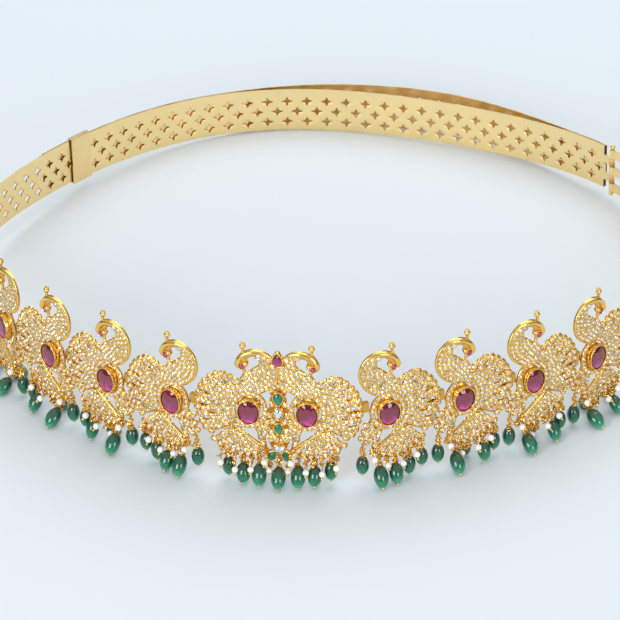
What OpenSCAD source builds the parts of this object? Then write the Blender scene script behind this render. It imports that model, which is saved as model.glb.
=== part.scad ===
// Oddiyanam, a waist belt of hinged peacock panels on a pierced gold strip.
// Millimetres. The belt stands on a surface, its front towards -Y.

/* [Loop] */
// Half width of the loop, side to side
loop_a = 146.4; // [135:0.1:160]
// Half depth of the loop, front to back
loop_b = 132.7; // [124:0.1:150]
// How far the back of the loop lies to the right of its front
loop_skew = 1.7; // [0:0.1:10]
// Lean of the whole belt, from its low back up to its front
belt_tilt = 4.75; // [3.5:0.05:5.5]
// Waves that the springy strip keeps at the back
strip_wave = 3.2; // [0:0.2:4]
// Widest space between the two strips, at the back
strip_bulge = 8.4; // [4:0.2:10]

/* [Strips] */
// Height of the strips
strip_h = 20; // [16:0.5:22]
// Thickness of the strip sheet
strip_t = 0.6; // [0.4:0.1:0.8]
// Space between the two strips where they overlap
strip_gap = 0.3; // [0.2:0.05:0.5]
// Distance from one pierced star to the next
star_pitch = 9.1; // [8:0.1:10]
// Width of a star, tip to tip
star_w = 5.4; // [4:0.1:5.8]
// Height of a star, tip to tip
star_h = 4.6; // [3:0.1:5]
// How far the pierced rows lie below the strip's middle
star_drop = 0.9; // [0:0.1:1.5]
// Thickness of the plain side plates
side_t = 0.9; // [0.7:0.1:1.2]
// Length of the sleeve's inner face
sleeve_l = 12; // [8:0.5:14]
// How far the sleeve's outer wall runs on past it
sleeve_tail = 19; // [8:0.5:22]
// Thickness of the sleeve's sheet
sleeve_t = 0.5; // [0.4:0.1:0.8]

/* [Panels] */
// Ruby to ruby distance along the chain of panels
panel_pitch = 30.4; // [29.6:0.1:32]
// Ruby to the hinge on the side of the belt's centre
hinge_in = 11.8; // [11:0.1:12.5]
// Half the distance between the two rubies of the centre panel
ruby_half = 11.4; // [11.2:0.1:12]
// Thickness of the cast plate
plate_t = 1.2; // [0.9:0.1:1.5]
// Height of the raised rims above the plate
rim_h = 0.6; // [0.3:0.1:1]
// How far the tail feathers reach out from the ruby
tail_reach = 19.4; // [18:0.2:20]
// How high the tail feathers rise above the ruby
tail_rise = 14.4; // [13:0.2:15.5]
// How far the lower feathers hang below the ruby
skirt_drop = 18.8; // [17:0.2:20]
// Half width of a feather
feather_w = 1.0; // [0.85:0.05:1.1]
// Radius of a feather's round tip
tip_r = 1.6; // [1.5:0.02:1.7]

/* [Birds] */
// Height of the bird's middle above the ruby
bird_up = 18; // [17.2:0.1:18.8]
// Largest radius of the bird's round back
bird_r = 11; // [10.5:0.1:11.4]
// Radius of the bird's back at its head end
neck_r = 7.0; // [6.6:0.1:7.4]
// Radius of the ball on the crest
crest_r = 1.1; // [0.8:0.1:1.3]

/* [Stones] */
// Width of a main ruby
ruby_w = 8; // [7:0.1:8.4]
// Height of a main ruby
ruby_h = 10; // [9:0.1:10.4]
// Wall of the bezel round a ruby
bezel_wall = 0.6; // [0.4:0.05:0.7]
// How far the bezel stands in front of the plate
bezel_rise = 2.4; // [1.8:0.1:3]
// Open slit between the bezel and its ring
ring_slit = 0.6; // [0.4:0.05:0.8]
// Width of the ring of small stones round a ruby
ring_w = 2.0; // [1.7:0.1:2.2]
// Width of an eye stone
eye_w = 2.1; // [1.7:0.1:2.3]
// Space between a stone and its setting
stone_gap = 0.08; // [0.05:0.01:0.12]

/* [Drops] */
// Diameter of a pearl
pearl_w = 2.4; // [2:0.1:2.6]
// Widest a green bead is
bead_w = 5.2; // [4.4:0.1:5.4]
// Tallest a green bead is
bead_h = 8.2; // [7:0.1:8.6]
// Diameter of the head pins' wire
wire_w = 0.44; // [0.36:0.02:0.5]
// Diameter of the ball at the end of a head pin
ball_w = 1.1; // [0.9:0.1:1.2]
// Space between what hangs and what holds it
hang_gap = 0.12; // [0.1:0.01:0.14]

/* [Hinges] */
// Diameter of the hinge pins
pin_w = 1.1; // [0.9:0.1:1.3]
// Wall of a hinge knuckle round its pin
knuckle_wall = 0.6; // [0.5:0.05:0.7]
// Radial clearance of a pin in its knuckles
pin_gap = 0.08; // [0.05:0.01:0.1]
// Height of one hinge knuckle
knuckle_h = 4; // [3.4:0.1:4.4]
// Space between one knuckle and the next
knuckle_gap = 0.15; // [0.1:0.05:0.3]

/* [Hidden] */

gold = "#D9A441";
pale_gold = "#E6C878";
ruby_red = "#8E1236";
emerald_green = "#0F7A4E";
clear_white = "#E8EDF2";
pearl_white = "#F3F0EA";

// Bend of the chain at each hinge, from the centre panel outwards
BENDS = [23, 6.7, 7.9, 10.7];
PANELS = len(BENDS);

// Depths are counted outwards from the plane of the hinge pins
knuckle_r = pin_w / 2 + pin_gap + knuckle_wall;
plate_back = knuckle_r + 0.15;
plate_front = plate_back + plate_t;
rim_front = plate_front + rim_h;
bezel_front = plate_front + bezel_rise;
panel_out = panel_pitch - hinge_in;
weld = 0.2;

// Half sizes of the ruby's setting, from the stone outwards
pocket_a = ruby_w / 2 + stone_gap;
pocket_b = ruby_h / 2 + stone_gap;
bezel_a = pocket_a + bezel_wall;
bezel_b = pocket_b + bezel_wall;
ring_a = bezel_a + ring_slit + ring_w;
ring_b = bezel_b + ring_slit + ring_w;
stone_seat = plate_front + bezel_rise * 0.35;

// The tail feathers: bearing where each leaves the ring, then its tip across and up as shares
// of tail_reach and tail_rise, and its bow as a share of its length
TAIL = [
    // bearing, across, up, bow
    [70, 0.27, 0.86, -0.02],
    [62, 0.39, 0.97, 0.00],
    [54, 0.51, 1.05, 0.02],
    [46, 0.645, 1.04, 0.04],
    [38, 0.765, 0.94, 0.05],
    [29, 0.875, 0.80, 0.05],
    [20, 0.955, 0.63, 0.04],
    [11, 1.01, 0.44, 0.03],
    [2, 1.04, 0.24, 0.00],
    [-7, 1.04, 0.03, -0.03],
    [-16, 1.00, -0.19, -0.06],
    [-25, 0.955, -0.43, -0.08],
    [-34, 0.885, -0.60, -0.08],
    [-42, 0.77, -0.71, -0.05]
];
// The lower feathers fan out from one point: its place, then each tip's place across as a share
// of tail_reach and down as a share of skirt_drop, and the feather's bow
FAN_FROM = [0.31, -0.36];
SKIRT = [
    // across, down, bow
    [0.72, -0.74, -0.04],
    [0.60, -0.84, 0.00],
    [0.475, -0.93, 0.02],
    [0.34, -1.00, 0.04],
    [0.19, -1.05, 0.06],
    [0.04, -1.07, 0.08],
    [-0.10, -1.035, 0.05],
    [-0.205, -0.94, 0.00]
];
// The feathers on the inner side of the bar, which leave the ring again
LOBES = [
    // bearing, across, down, bow
    [-166, -0.435, -0.28, 0.10],
    [-156, -0.495, -0.43, 0.10],
    [-146, -0.55, -0.58, 0.10],
    [-134, -0.435, -0.695, 0.06],
    [-121, -0.265, -0.80, 0.03],
    [-108, -0.225, -0.665, 0.00]
];
// The smooth bar under the ring: where it starts and ends, as shares of tail_reach and skirt_drop
BAR_FROM = [0.27, -0.44];
BAR_TO = [-0.20, -0.82];
bar_w = 0.75;

// The green beads of one panel: place across as a share of tail_reach, eyelet and bead middle
// as shares of skirt_drop below the ruby, width and height as shares of the largest bead, and the
// way it leans where it is squeezed: 1 outwards, -1 under the panel
BEADS = [
    // across, eyelet, middle, width, height, way
    [-0.525, 0.835, 1.24, 0.88, 0.88, 1],
    [-0.196, 1.10, 1.52, 1.00, 1.00, 1],
    [0.133, 1.145, 1.50, 0.97, 0.92, -1],
    [0.447, 0.985, 1.39, 0.90, 0.90, 1],
    [0.713, 0.85, 1.25, 0.84, 0.84, -1]
];
// The pearls: place across, eyelet and pearl middle, the same shares
PEARLS = [
    [-0.321, 0.945, 1.19],
    [-0.031, 1.155, 1.36],
    [0.292, 1.065, 1.32],
    [0.58, 0.925, 1.16]
];
// On the centre panel each half hangs the middle three beads, and its pearls from the same eyelets
// a little lower, and one more bead with a pearl at either side hangs in the middle
CENTRE_LOWER = 0.12;
CENTRE_BEADS = [BEADS[1], BEADS[2], BEADS[3]];
CENTRE_PEARLS = [for (row = PEARLS) [row[0], row[1], row[2] + CENTRE_LOWER]];
MIDDLE_BEAD = [0, 1.165, 1.58, 1.00, 1.00, 1];
MIDDLE_PEARL = [0.19, 1.30, 1.52];
MIDDLE_DROPS = [MIDDLE_BEAD, MIDDLE_PEARL, [-MIDDLE_PEARL[0], MIDDLE_PEARL[1], MIDDLE_PEARL[2]]];
pearl_lean = 40;

eye_hole_r = 0.62;
eye_bar = 0.46;
ring_wire_r = 0.2;
bead_bore_r = wire_w / 2 + hang_gap;

// Angles along the loop, from the front, clockwise seen from above
inner_start = -125.1;
inner_end = 129.1;
outer_start = -95;
outer_end = 127.1;
// The first and the last star of the inner strip's outermost rows, and a star of the outer strip
STARS = [130.6, 231.4];
star_of_outer = 237.9;
// The waves in a full turn, where one crests, and where the outer strip stands off the inner one
WAVES = 4.5;
wave_at = 202.3;
bulge_at = 167.4;
bulge_reach = [31.4, 40.8];
// Sides of the ovals, and of the small rounds that repeat often
SIDES = 28;
FEW = 10;

function lerp(a, b, t) = a + (b - a) * t;
function smooth(t) = let (s = min(1, max(0, t))) s * s * (3 - 2 * s);
function turned(p, a) = [p.x * cos(a) - p.y * sin(a), p.x * sin(a) + p.y * cos(a)];
function sum(list, n) = n <= 0 ? 0 : list[n - 1] + sum(list, n - 1);

// An ellipse, or a stretch of one, as points
function ellipse(a, b, n = SIDES, from = 0, to = 360) =
    [for (i = [0 : n - (to - from == 360 ? 1 : 0)])
        let (t = from + (to - from) * i / n) [a * cos(t), b * sin(t)]];

// A drop outline with its point up: round below, drawn in to a tip
function drop_outline(w, h, n = 24) =
    [for (i = [0 : n - 1]) let (t = 360 * i / n, s = sin(t))
        [w / 2 * cos(t) * (s > 0 ? 1 - 0.55 * s * s : 1), h * (s > 0 ? 0.62 : 0.38) * s]];

// A curve from p to q that bows sideways by a share of its length
function bowed(p, q, bow, n = 3) =
    let (m = (p + q) / 2 + bow * [-(q - p).y, (q - p).x] * 2)
    [for (i = [0 : n]) let (t = i / n) (1 - t) * (1 - t) * p + 2 * t * (1 - t) * m + t * t * q];

// The outline of a band along a path, its half width going from w0 to w1
function band(path, w0, w1) =
    let (n = len(path) - 1,
        nor = [for (i = [0 : n])
            let (d = path[min(n, i + 1)] - path[max(0, i - 1)]) [-d.y, d.x] / norm(d)])
    concat(
        [for (i = [0 : n]) path[i] + nor[i] * lerp(w0, w1, i / n)],
        [for (i = [n : -1 : 0]) path[i] - nor[i] * lerp(w0, w1, i / n)]
    );

// Where a feather leaves the middle of the ring's band, and where its tip lies
function ring_point(bearing) = [(ring_a - ring_w / 2) * cos(bearing), (ring_b - ring_w / 2) * sin(bearing)];
function ring_feather(row, rise) = bowed(ring_point(row[0]), [row[1] * tail_reach, row[2] * rise], row[3]);
function fan_feather(row) =
    bowed([FAN_FROM.x * tail_reach, FAN_FROM.y * skirt_drop], [row[0] * tail_reach, row[1] * skirt_drop], row[2]);

// The bird's back: a spiral about its middle, widest at the tail end
bird_middle = [-1.5, bird_up];
function back_radius(t) = neck_r + (bird_r - neck_r) * pow((t - 22) / 218, 0.75);
function back_point(t, inset = 0) = bird_middle + (back_radius(t) - inset) * [cos(t), sin(t)];
function on_bird(share) = bird_middle + bird_r * share;
head_at = on_bird([0.355, 0.136]);
crest_at = on_bird([0.31, 0.918]);

// The chain of panels: each hinge in plan, and the heading of the panel beyond it
function heading(k) = sum(BENDS, k);
function hinge_at(k) = k == 1 ? [ruby_half + panel_out, 0]
    : hinge_at(k - 1) + turned([panel_pitch, 0], heading(k - 1));
chain_end = hinge_at(PANELS + 1);

// The loop in plan, by angle from the front; the strips leave it by a few millimetres
loop_front = -plate_back - 3.1;
function loop_point(t) = [loop_a * sin(t) + loop_skew * (1 - cos(t)) / 2, loop_b * (1 - cos(t)) + loop_front];
function loop_out(t) = let (d = [loop_b * sin(t), -loop_a * cos(t)]) d / norm(d);
function wave(t) = strip_wave * cos(WAVES * (t - wave_at)) * smooth((abs(t - 180) < 180 ? t - 95 : 0) / 25);
function rear(t) = t < 0 ? t + 360 : t;
function bulge(t) =
    let (d = rear(t) - bulge_at, s = d / (d < 0 ? bulge_reach.x : bulge_reach.y))
    abs(s) < 1 ? strip_bulge * pow(cos(90 * s), 2) : 0;
function strip_point(t, off) = loop_point(t) + loop_out(t) * (wave(rear(t)) + off);
function strip_side(from, to, off, bulged, step = 2) =
    let (n = ceil((to - from) / step))
    [for (i = [0 : n]) let (t = from + (to - from) * i / n)
        strip_point(t, off + (bulged ? bulge(t) : 0))];
function reversed(list) = [for (i = [len(list) - 1 : -1 : 0]) list[i]];
function reversed_if(list, yes) = yes ? reversed(list) : list;
function strip_plan(from, to, off, t, bulged) =
    concat(strip_side(from, to, off - t / 2, bulged), reversed(strip_side(from, to, off + t / 2, bulged)));

// The outer strip's distance outside the inner one, and the turn from -180 to 180 made one run
outer_off = strip_t + strip_gap;

// The belt's height over the surface at its front, so that its back edge just rests
rear_y = max([for (p = strip_side(120, 240, outer_off + strip_t / 2, true)) p.y]);
belt_lift = strip_h / 2 * cos(belt_tilt) + rear_y * sin(belt_tilt);
function floor_h(y) = -(belt_lift - y * sin(belt_tilt)) / cos(belt_tilt);

// The middle of the loop in plan, which becomes the origin
side_points = concat(strip_side(60, 120, side_t, false), strip_side(240, 300, outer_off + strip_t / 2, false));
loop_mid_x = (max([for (p = side_points) p.x]) + min([for (p = side_points) p.x])) / 2;
front_y = min([for (row = concat([MIDDLE_BEAD], CENTRE_BEADS)) drop_front(row)]);
loop_mid_y = (front_y + rear_y * cos(belt_tilt) + strip_h / 2 * sin(belt_tilt)) / 2;

// Sets the belt on the surface, leaning from its back up to its front
module on_surface() {
    translate([-loop_mid_x, -loop_mid_y, belt_lift])
        rotate([-belt_tilt, 0, 0])
            children();
}

// Puts a panel's own frame in its place in the chain; the panels count outwards
module at_panel(k) {
    spot = hinge_at(k) + turned([hinge_in, 0], heading(k));
    translate([spot.x, spot.y, 0])
        rotate([0, 0, heading(k)])
            children();
}

// A flat outline stood up and made thick, from one depth to another
module slab(from, to) {
    rotate([90, 0, 0])
        translate([0, 0, from])
            linear_extrude(to - from)
                children();
}

// Closes the slits that are too narrow to cast, and leaves the outline a hair fuller
slit = 0.12;
module without_slits() {
    offset(delta = -slit)
        offset(delta = slit + 0.02)
            children();
}

// Flat outlines of the single panel
module feather(path) {
    polygon(band(path, feather_w, feather_w * 1.05));
    translate(path[len(path) - 1])
        circle(tip_r, $fn = FEW);
}

module feathers() {
    for (row = TAIL)
        feather(ring_feather(row, tail_rise));
    for (row = SKIRT)
        feather(fan_feather(row));
    for (row = LOBES)
        feather(ring_feather(row, skirt_drop));
}

module ring_band() {
    difference() {
        polygon(ellipse(ring_a, ring_b));
        polygon(ellipse(ring_a - ring_w, ring_b - ring_w));
    }
}

// Three crescents stay open between the bezel and its ring
module ring_inside() {
    difference() {
        polygon(ellipse(ring_a - ring_w / 2, ring_b - ring_w / 2));
        for (arc = [[38, 142], [160, 214], [-34, 20]])
            polygon(concat(
                ellipse(ring_a - ring_w, ring_b - ring_w, 10, arc[0], arc[1]),
                reversed(ellipse(bezel_a, bezel_b, 10, arc[0], arc[1]))
            ));
    }
}

module bird_back() {
    polygon(concat(
        [for (t = [22 : 12 : 250]) back_point(t)],
        [[-0.27 * bird_r, ring_b * 0.8], [0.31 * bird_r, ring_b * 0.95], [0.37 * bird_r, ring_b * 1.31]],
        [for (p = [[0.427, -0.364], [0.282, -0.127], [0.40, 0], [0.491, 0.027], [0.555, 0.10]]) on_bird(p)]
    ));
}

// The opening under the neck: a round and a slot that runs down to the beak, as shares of bird_r
NECK_SLOT = [[-0.236, 0.20], [0.136, -0.118], [0.218, -0.091], [0.218, 0.127], [0.109, 0.418]];
module neck_hole() {
    translate(on_bird([-0.036, 0.29]))
        circle(0.218 * bird_r, $fn = 20);
    polygon([for (p = NECK_SLOT) on_bird(p)]);
}

// The head: a round about the eye, a curl over it, the beak that rests on the breast, the neck
eye_wall = 0.6;
neck_w = 0.1 * bird_r;
curl_at = on_bird([0.218, 0.241]);
curl_r = 0.114 * bird_r;
BEAK = [[0.18, 0.10], [0.30, 0.064], [0.291, -0.20], [0.209, -0.20]];
module head_outline() {
    translate(head_at)
        circle(eye_w / 2 + eye_wall, $fn = 20);
    translate(curl_at)
        circle(curl_r, $fn = 16);
    polygon([for (p = BEAK) on_bird(p)]);
    polygon(band([for (t = [22 : 12 : 82]) back_point(t, neck_w)], neck_w, neck_w));
}

module crest_stem() {
    polygon([for (p = [[-0.073, -0.3], [0.073, -0.3], [0.045, 0], [-0.045, 0]]) crest_at + bird_r * p]);
}

module bar_outline() {
    polygon(band([
        [BAR_FROM.x * tail_reach, BAR_FROM.y * skirt_drop],
        [BAR_TO.x * tail_reach, BAR_TO.y * skirt_drop]
    ], bar_w / 2, bar_w / 2));
}

// The eyelets that the drops hang from, under the feathers' tips
function eyelet(row) = [row[0] * tail_reach, -row[1] * skirt_drop];
module eyelets(rows, solid) {
    for (row = rows)
        translate(eyelet(row)) {
            circle(solid ? eye_hole_r + eye_bar : eye_hole_r, $fn = FEW);
            if (solid)
                translate([-0.5, 0.3])
                    square([1, 1.9]);
        }
}

module bird_panel_outline(beads) {
    difference() {
        union() {
            feathers();
            ring_band();
            ring_inside();
            difference() {
                bird_back();
                neck_hole();
            }
            head_outline();
            crest_stem();
            bar_outline();
            eyelets(concat(beads, PEARLS), true);
        }
        eyelets(concat(beads, PEARLS), false);
        polygon(ellipse(pocket_a - 0.7, pocket_b - 0.7, 24));
    }
}

// What stands proud of the plate: the bird's smooth rim and neck, the ring's edge and the bar
module bird_panel_rims() {
    polygon(band([for (t = [22 : 12 : 238]) back_point(t, 0.5)], 0.5, 0.5));
    head_outline();
    crest_stem();
    bar_outline();
    difference() {
        polygon(ellipse(ring_a, ring_b));
        polygon(ellipse(ring_a - 0.4, ring_b - 0.4));
    }
}

// The tall collar that holds a ruby, and the pocket cut into it
module bezel_collar() {
    slab(plate_back, bezel_front)
        polygon(ellipse(bezel_a, bezel_b));
}

module bezel_pocket() {
    slab(stone_seat, bezel_front + 1)
        polygon(ellipse(pocket_a, pocket_b));
    slab(plate_back - 1, stone_seat + 1)
        polygon(ellipse(pocket_a - 0.7, pocket_b - 0.7, 24));
}

module eye_pocket() {
    translate([head_at.x, -rim_front + 0.5, head_at.y])
        rotate([90, 0, 0])
            cylinder(h = 2, r = eye_w / 2 + stone_gap, $fn = 24);
}

module head_balls() {
    translate([curl_at.x, -plate_front, curl_at.y])
        sphere(curl_r * 0.92, $fn = 24);
    translate([crest_at.x, -(plate_back + plate_front) / 2, crest_at.y])
        sphere(crest_r, $fn = 24);
}

// Hinge knuckles on a vertical line through the origin, each with its strap to the plate
function knuckle_low(i) = -1.5 * knuckle_h + i * (knuckle_h + knuckle_gap) + 2.2;
module knuckle(i) {
    translate([0, 0, knuckle_low(i)])
        cylinder(h = knuckle_h, r = knuckle_r, $fn = 24);
}

module knuckle_bore(from, to) {
    translate([0, 0, from - 1])
        cylinder(h = to - from + 2, r = pin_w / 2 + pin_gap, $fn = 24);
}

module strap(i, from_x, to_x, back, front) {
    translate([min(from_x, to_x), -front, knuckle_low(i)])
        cube([abs(to_x - from_x), front - back, knuckle_h]);
}

// The knuckles of a panel's outer hinge, and the one on its inner side
module outer_knuckles(x) {
    difference() {
        for (i = [0, 2]) {
            translate([x, 0, 0])
                knuckle(i);
            strap(i, x - 4.5, x, 0, plate_back + weld);
        }
        translate([x, 0, 0])
            knuckle_bore(knuckle_low(0), knuckle_low(2) + knuckle_h);
    }
}

module inner_knuckle(x) {
    difference() {
        union() {
            translate([x, 0, 0])
                knuckle(1);
            strap(1, x, -ring_a + 1.2, -0.2, 0.9);
            strap(1, -ring_a + 0.2, -ring_a + 1.2, -0.2, plate_back + weld);
        }
        translate([x, 0, 0])
            knuckle_bore(knuckle_low(1), knuckle_low(1) + knuckle_h);
    }
}

// One cast panel, without its stones, in its own frame
module bird_casting() {
    difference() {
        union() {
            slab(plate_back, plate_front)
                without_slits()
                    bird_panel_outline(BEADS);
            slab(plate_front - weld, rim_front)
                offset(delta = 0.01)
                    bird_panel_rims();
            bezel_collar();
            head_balls();
        }
        bezel_pocket();
        eye_pocket();
    }
}

module single_panel() {
    color(gold) {
        bird_casting();
        outer_knuckles(panel_out);
        inner_knuckle(-hinge_in);
    }
}

// The centre panel's column of settings, from the crown down
// Each row: place up, width and height of the stone, and the way its point looks
COLUMN = [
    // name, up, width, height, way
    ["crown", 22.2, 3.6, 5.6, 1],
    ["upper", 6.1, 3.5, 5.4, -1],
    ["clear", -0.6, 3.3, 5.0, -1],
    ["lower", -7.3, 3.1, 4.6, -1]
];
oval_at = [0, -16.8];
oval_w = 4.4;
oval_h = 3.1;
leaf_at = [3.1, -20.2];
leaf_w = 2.9;
leaf_h = 4.6;
leaf_turn = 38;
setting_wall = 0.5;
setting_rise = 1.1;

function pointed(row, grow) =
    [for (p = drop_outline(row[2] + 2 * grow, row[3] + 2 * grow)) [p.x, row[4] * p.y]];

module column_setting(row, grow) {
    translate([0, row[1]])
        polygon(pointed(row, grow));
}

module leaf_setting(grow) {
    translate(leaf_at)
        rotate(leaf_turn)
            polygon(drop_outline(leaf_w + 2 * grow, leaf_h + 2 * grow));
}

module small_settings(grow) {
    for (row = COLUMN)
        column_setting(row, grow);
    translate(oval_at)
        polygon(ellipse(oval_w / 2 + grow, oval_h / 2 + grow, 24));
    for (s = [0, 1])
        mirror([s, 0])
            leaf_setting(grow);
}

// Gaps beside the column, each a small diamond
COLUMN_GAPS = [[2.7, -4.6, 0.8, 1.3], [3.2, -10.3, 0.9, 1.1], [0, 10.9, 0.9, 1.3]];

// The right side of the plate behind the column, from the crown's foot to the leaves
COLUMN_SIDE = [[3, 21], [3.4, 9], [3.4, 2], [4.6, -2], [4.6, -12], [1.8, -20.4]];

module centre_outline() {
    difference() {
        union() {
            for (s = [0, 1])
                mirror([s, 0])
                    translate([ruby_half, 0])
                        bird_panel_outline(CENTRE_BEADS);
            polygon(concat(COLUMN_SIDE, [for (p = reversed(COLUMN_SIDE)) [-p.x, p.y]]));
            small_settings(stone_gap + setting_wall);
            eyelets(MIDDLE_DROPS, true);
        }
        eyelets(MIDDLE_DROPS, false);
        for (s = [0, 1], g = COLUMN_GAPS)
            mirror([s, 0])
                translate([g[0], g[1]])
                    polygon([[g[2], 0], [0, g[3]], [-g[2], 0], [0, -g[3]]]);
        small_settings(-0.45);
    }
}

module centre_panel() {
    color(gold) {
        difference() {
            union() {
                slab(plate_back, plate_front)
                    without_slits()
                        centre_outline();
                slab(plate_front - weld, rim_front)
                    offset(delta = 0.01)
                        for (s = [0, 1])
                            mirror([s, 0])
                                translate([ruby_half, 0])
                                    bird_panel_rims();
                slab(plate_front - weld, plate_front + setting_rise)
                    offset(delta = 0.01)
                        small_settings(stone_gap + setting_wall);
                for (s = [0, 1])
                    mirror([s, 0, 0])
                        translate([ruby_half, 0, 0]) {
                            bezel_collar();
                            head_balls();
                        }
            }
            for (s = [0, 1])
                mirror([s, 0, 0])
                    translate([ruby_half, 0, 0]) {
                        bezel_pocket();
                        eye_pocket();
                    }
            slab(plate_front, plate_front + setting_rise + 1)
                offset(delta = 0.01)
                    small_settings(stone_gap);
        }
        for (s = [0, 1])
            mirror([s, 0, 0])
                outer_knuckles(ruby_half + panel_out);
    }
}

// A cut stone: a table, a crown of facets, a thin girdle and a pointed back. The outline is a list
// of points, and back, crown are its depths behind and in front of the girdle.
module cut_stone(outline, back, crown) {
    n = len(outline);
    girdle = 0.15;
    rings = [
        [for (p = outline) [p.x, p.y, 0]],
        [for (p = outline) [p.x, p.y, girdle]],
        [for (i = [0 : n - 1])
            let (m = (outline[i] + outline[(i + 1) % n]) / 2 * 0.84) [m.x, m.y, girdle + crown * 0.62]],
        [for (p = outline) [p.x * 0.6, p.y * 0.6, girdle + crown]]
    ];
    middle = [for (i = [0, 1]) max([for (p = outline) p[i]]) / 2 + min([for (p = outline) p[i]]) / 2];
    points = concat([[middle.x, middle.y, -back]], rings[0], rings[1], rings[2], rings[3]);
    function at(ring, i) = 1 + ring * n + (i % n);
    polyhedron(points, concat(
        [for (i = [0 : n - 1]) [0, at(0, i), at(0, i + 1)]],
        [for (i = [0 : n - 1]) [at(0, i), at(1, i), at(1, i + 1), at(0, i + 1)]],
        [for (i = [0 : n - 1]) [at(1, i), at(2, i), at(1, i + 1)]],
        [for (i = [0 : n - 1]) [at(2, i), at(2, i + 1), at(1, i + 1)]],
        [for (i = [0 : n - 1]) [at(2, i), at(3, i + 1), at(2, i + 1)]],
        [for (i = [0 : n - 1]) [at(2, i), at(3, i), at(3, i + 1)]],
        [[for (i = [0 : n - 1]) at(3, n - 1 - i)]]
    ));
}

// Stands a stone up in its setting, its girdle at the given depth
module seated(x, z, depth) {
    translate([x, -depth, z])
        rotate([90, 0, 0])
            children();
}

module ruby() {
    color(ruby_red)
        seated(0, 0, stone_seat + 1.0)
            cut_stone(ellipse(ruby_w / 2, ruby_h / 2, 16), 0.9, 0.75);
}

module eye_stone() {
    color(ruby_red)
        seated(head_at.x, head_at.y, rim_front - 0.05)
            cut_stone(ellipse(eye_w / 2, eye_w / 2, 8), 0.4, 0.3);
}

module column_stone(row, tint) {
    color(tint)
        seated(0, row[1], plate_front + setting_rise - 0.2)
            cut_stone(reversed_if(pointed(row, 0), row[4] < 0), 0.85, 0.5);
}

module leaf_stone() {
    color(emerald_green)
        seated(leaf_at.x, leaf_at.y, plate_front + setting_rise - 0.2)
            rotate(leaf_turn)
                cut_stone(drop_outline(leaf_w, leaf_h, 16), 0.85, 0.45);
}

// The drops. A drop hangs from an eyelet; where it is longer than its height over the surface it
// leans outwards until its end just rests.
function link_r() = norm([plate_t / 2, eye_bar / 2]) + hang_gap + ring_wire_r;
function hang_point(row) = [eyelet(row).x, eyelet(row).y - eye_hole_r - eye_bar / 2];
function bead_size(row) = [row[3] * bead_w, row[4] * bead_h];
function bead_drop(row) = hang_point(row).y + row[2] * skirt_drop;
function bead_end(row) = bead_drop(row) + bead_size(row).y / 2 + hang_gap + ball_w;
function pearl_drop(row) = hang_point(row).y + row[2] * skirt_drop;
function plan_y(k, x) = k == 0 ? 0 : (hinge_at(k) + turned([hinge_in + x, 0], heading(k))).y;
function lean(room, length) = length <= room ? 0 : acos(max(0.2, room / length));
function squeeze(k, row, end) = lean(hang_point(row).y - floor_h(plan_y(k, hang_point(row).x)) - 0.05, end);
function bead_lean(k, row) = squeeze(k, row, bead_end(row)) * (k < 2 ? 1 : row[5]);
function pearl_end(row) = pearl_drop(row) + pearl_w / 2 + hang_gap + ball_w;

// A pearl leans out in front of the nearest green bead, or as far as the surface pushes it
function pearl_turn(k, row, beads = BEADS) =
    let (d = [for (b = beads) abs(b[0] - row[0])],
        near = [for (i = [0 : len(beads) - 1]) if (d[i] == min(d)) beads[i]][0])
    max(squeeze(k, row, pearl_end(row)), max(0, bead_lean(k, near)) + pearl_lean);

// How far forward a bead of the centre panel reaches once the belt leans
function drop_front(row) =
    let (a = bead_lean(0, row) + belt_tilt, half = bead_size(row) / 2,
        top = -(plate_back + plate_front) / 2 * cos(belt_tilt) + hang_point(row).y * sin(belt_tilt))
    top - max(bead_drop(row) * sin(a) + norm([half.x * cos(a), half.y * sin(a)]),
        (bead_end(row) - ball_w / 2) * sin(a) + ball_w / 2);

// Puts a drop's own frame at its eyelet, its length down -Z, turned outwards
module hung(row, turn) {
    at = hang_point(row);
    translate([at.x, -(plate_back + plate_front) / 2, at.y])
        rotate([-turn, 0, 0])
            children();
}

module round_bead(w, h, n) {
    rotate_extrude($fn = 24)
        polygon(concat(
            [for (i = [0 : n]) let (t = -90 + 180 * i / n, r = w / 2 * cos(t))
                if (r > bead_bore_r) [r, h / 2 * sin(t)]],
            [[bead_bore_r, h / 2 * sqrt(1 - pow(2 * bead_bore_r / w, 2))],
                [bead_bore_r, -h / 2 * sqrt(1 - pow(2 * bead_bore_r / w, 2))]]
        ));
}

module green_bead(k, row) {
    hung(row, bead_lean(k, row))
        translate([0, 0, -bead_drop(row)])
            round_bead(bead_size(row).x, bead_size(row).y, 12);
}

module pearl(k, row, beads = BEADS) {
    hung(row, pearl_turn(k, row, beads))
        translate([0, 0, -pearl_drop(row)])
            round_bead(pearl_w, pearl_w, 10);
}

// A head pin: a ring through the eyelet, a wire through the bead and a ball under it
module head_pin(middle, half) {
    stop = middle + half + hang_gap;
    rotate([0, 90, 0])
        rotate_extrude($fn = 24)
            translate([link_r(), 0])
                circle(ring_wire_r, $fn = 16);
    translate([0, 0, -stop - ball_w / 2])
        cylinder(h = stop + ball_w / 2 - link_r(), r = wire_w / 2, $fn = 16);
    translate([0, 0, -stop - ball_w / 2])
        sphere(ball_w / 2, $fn = 16);
}

module bead_pin(k, row) {
    hung(row, bead_lean(k, row))
        head_pin(bead_drop(row), bead_size(row).y / 2);
}

module pearl_pin(k, row, beads = BEADS) {
    hung(row, pearl_turn(k, row, beads))
        head_pin(pearl_drop(row), pearl_w / 2);
}

module side_beads() {
    color(emerald_green)
        for (k = [1 : PANELS], row = BEADS)
            at_panel(k)
                green_bead(k, row);
}

module side_pearls() {
    color(pearl_white)
        for (k = [1 : PANELS], row = PEARLS)
            at_panel(k)
                pearl(k, row);
}

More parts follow.
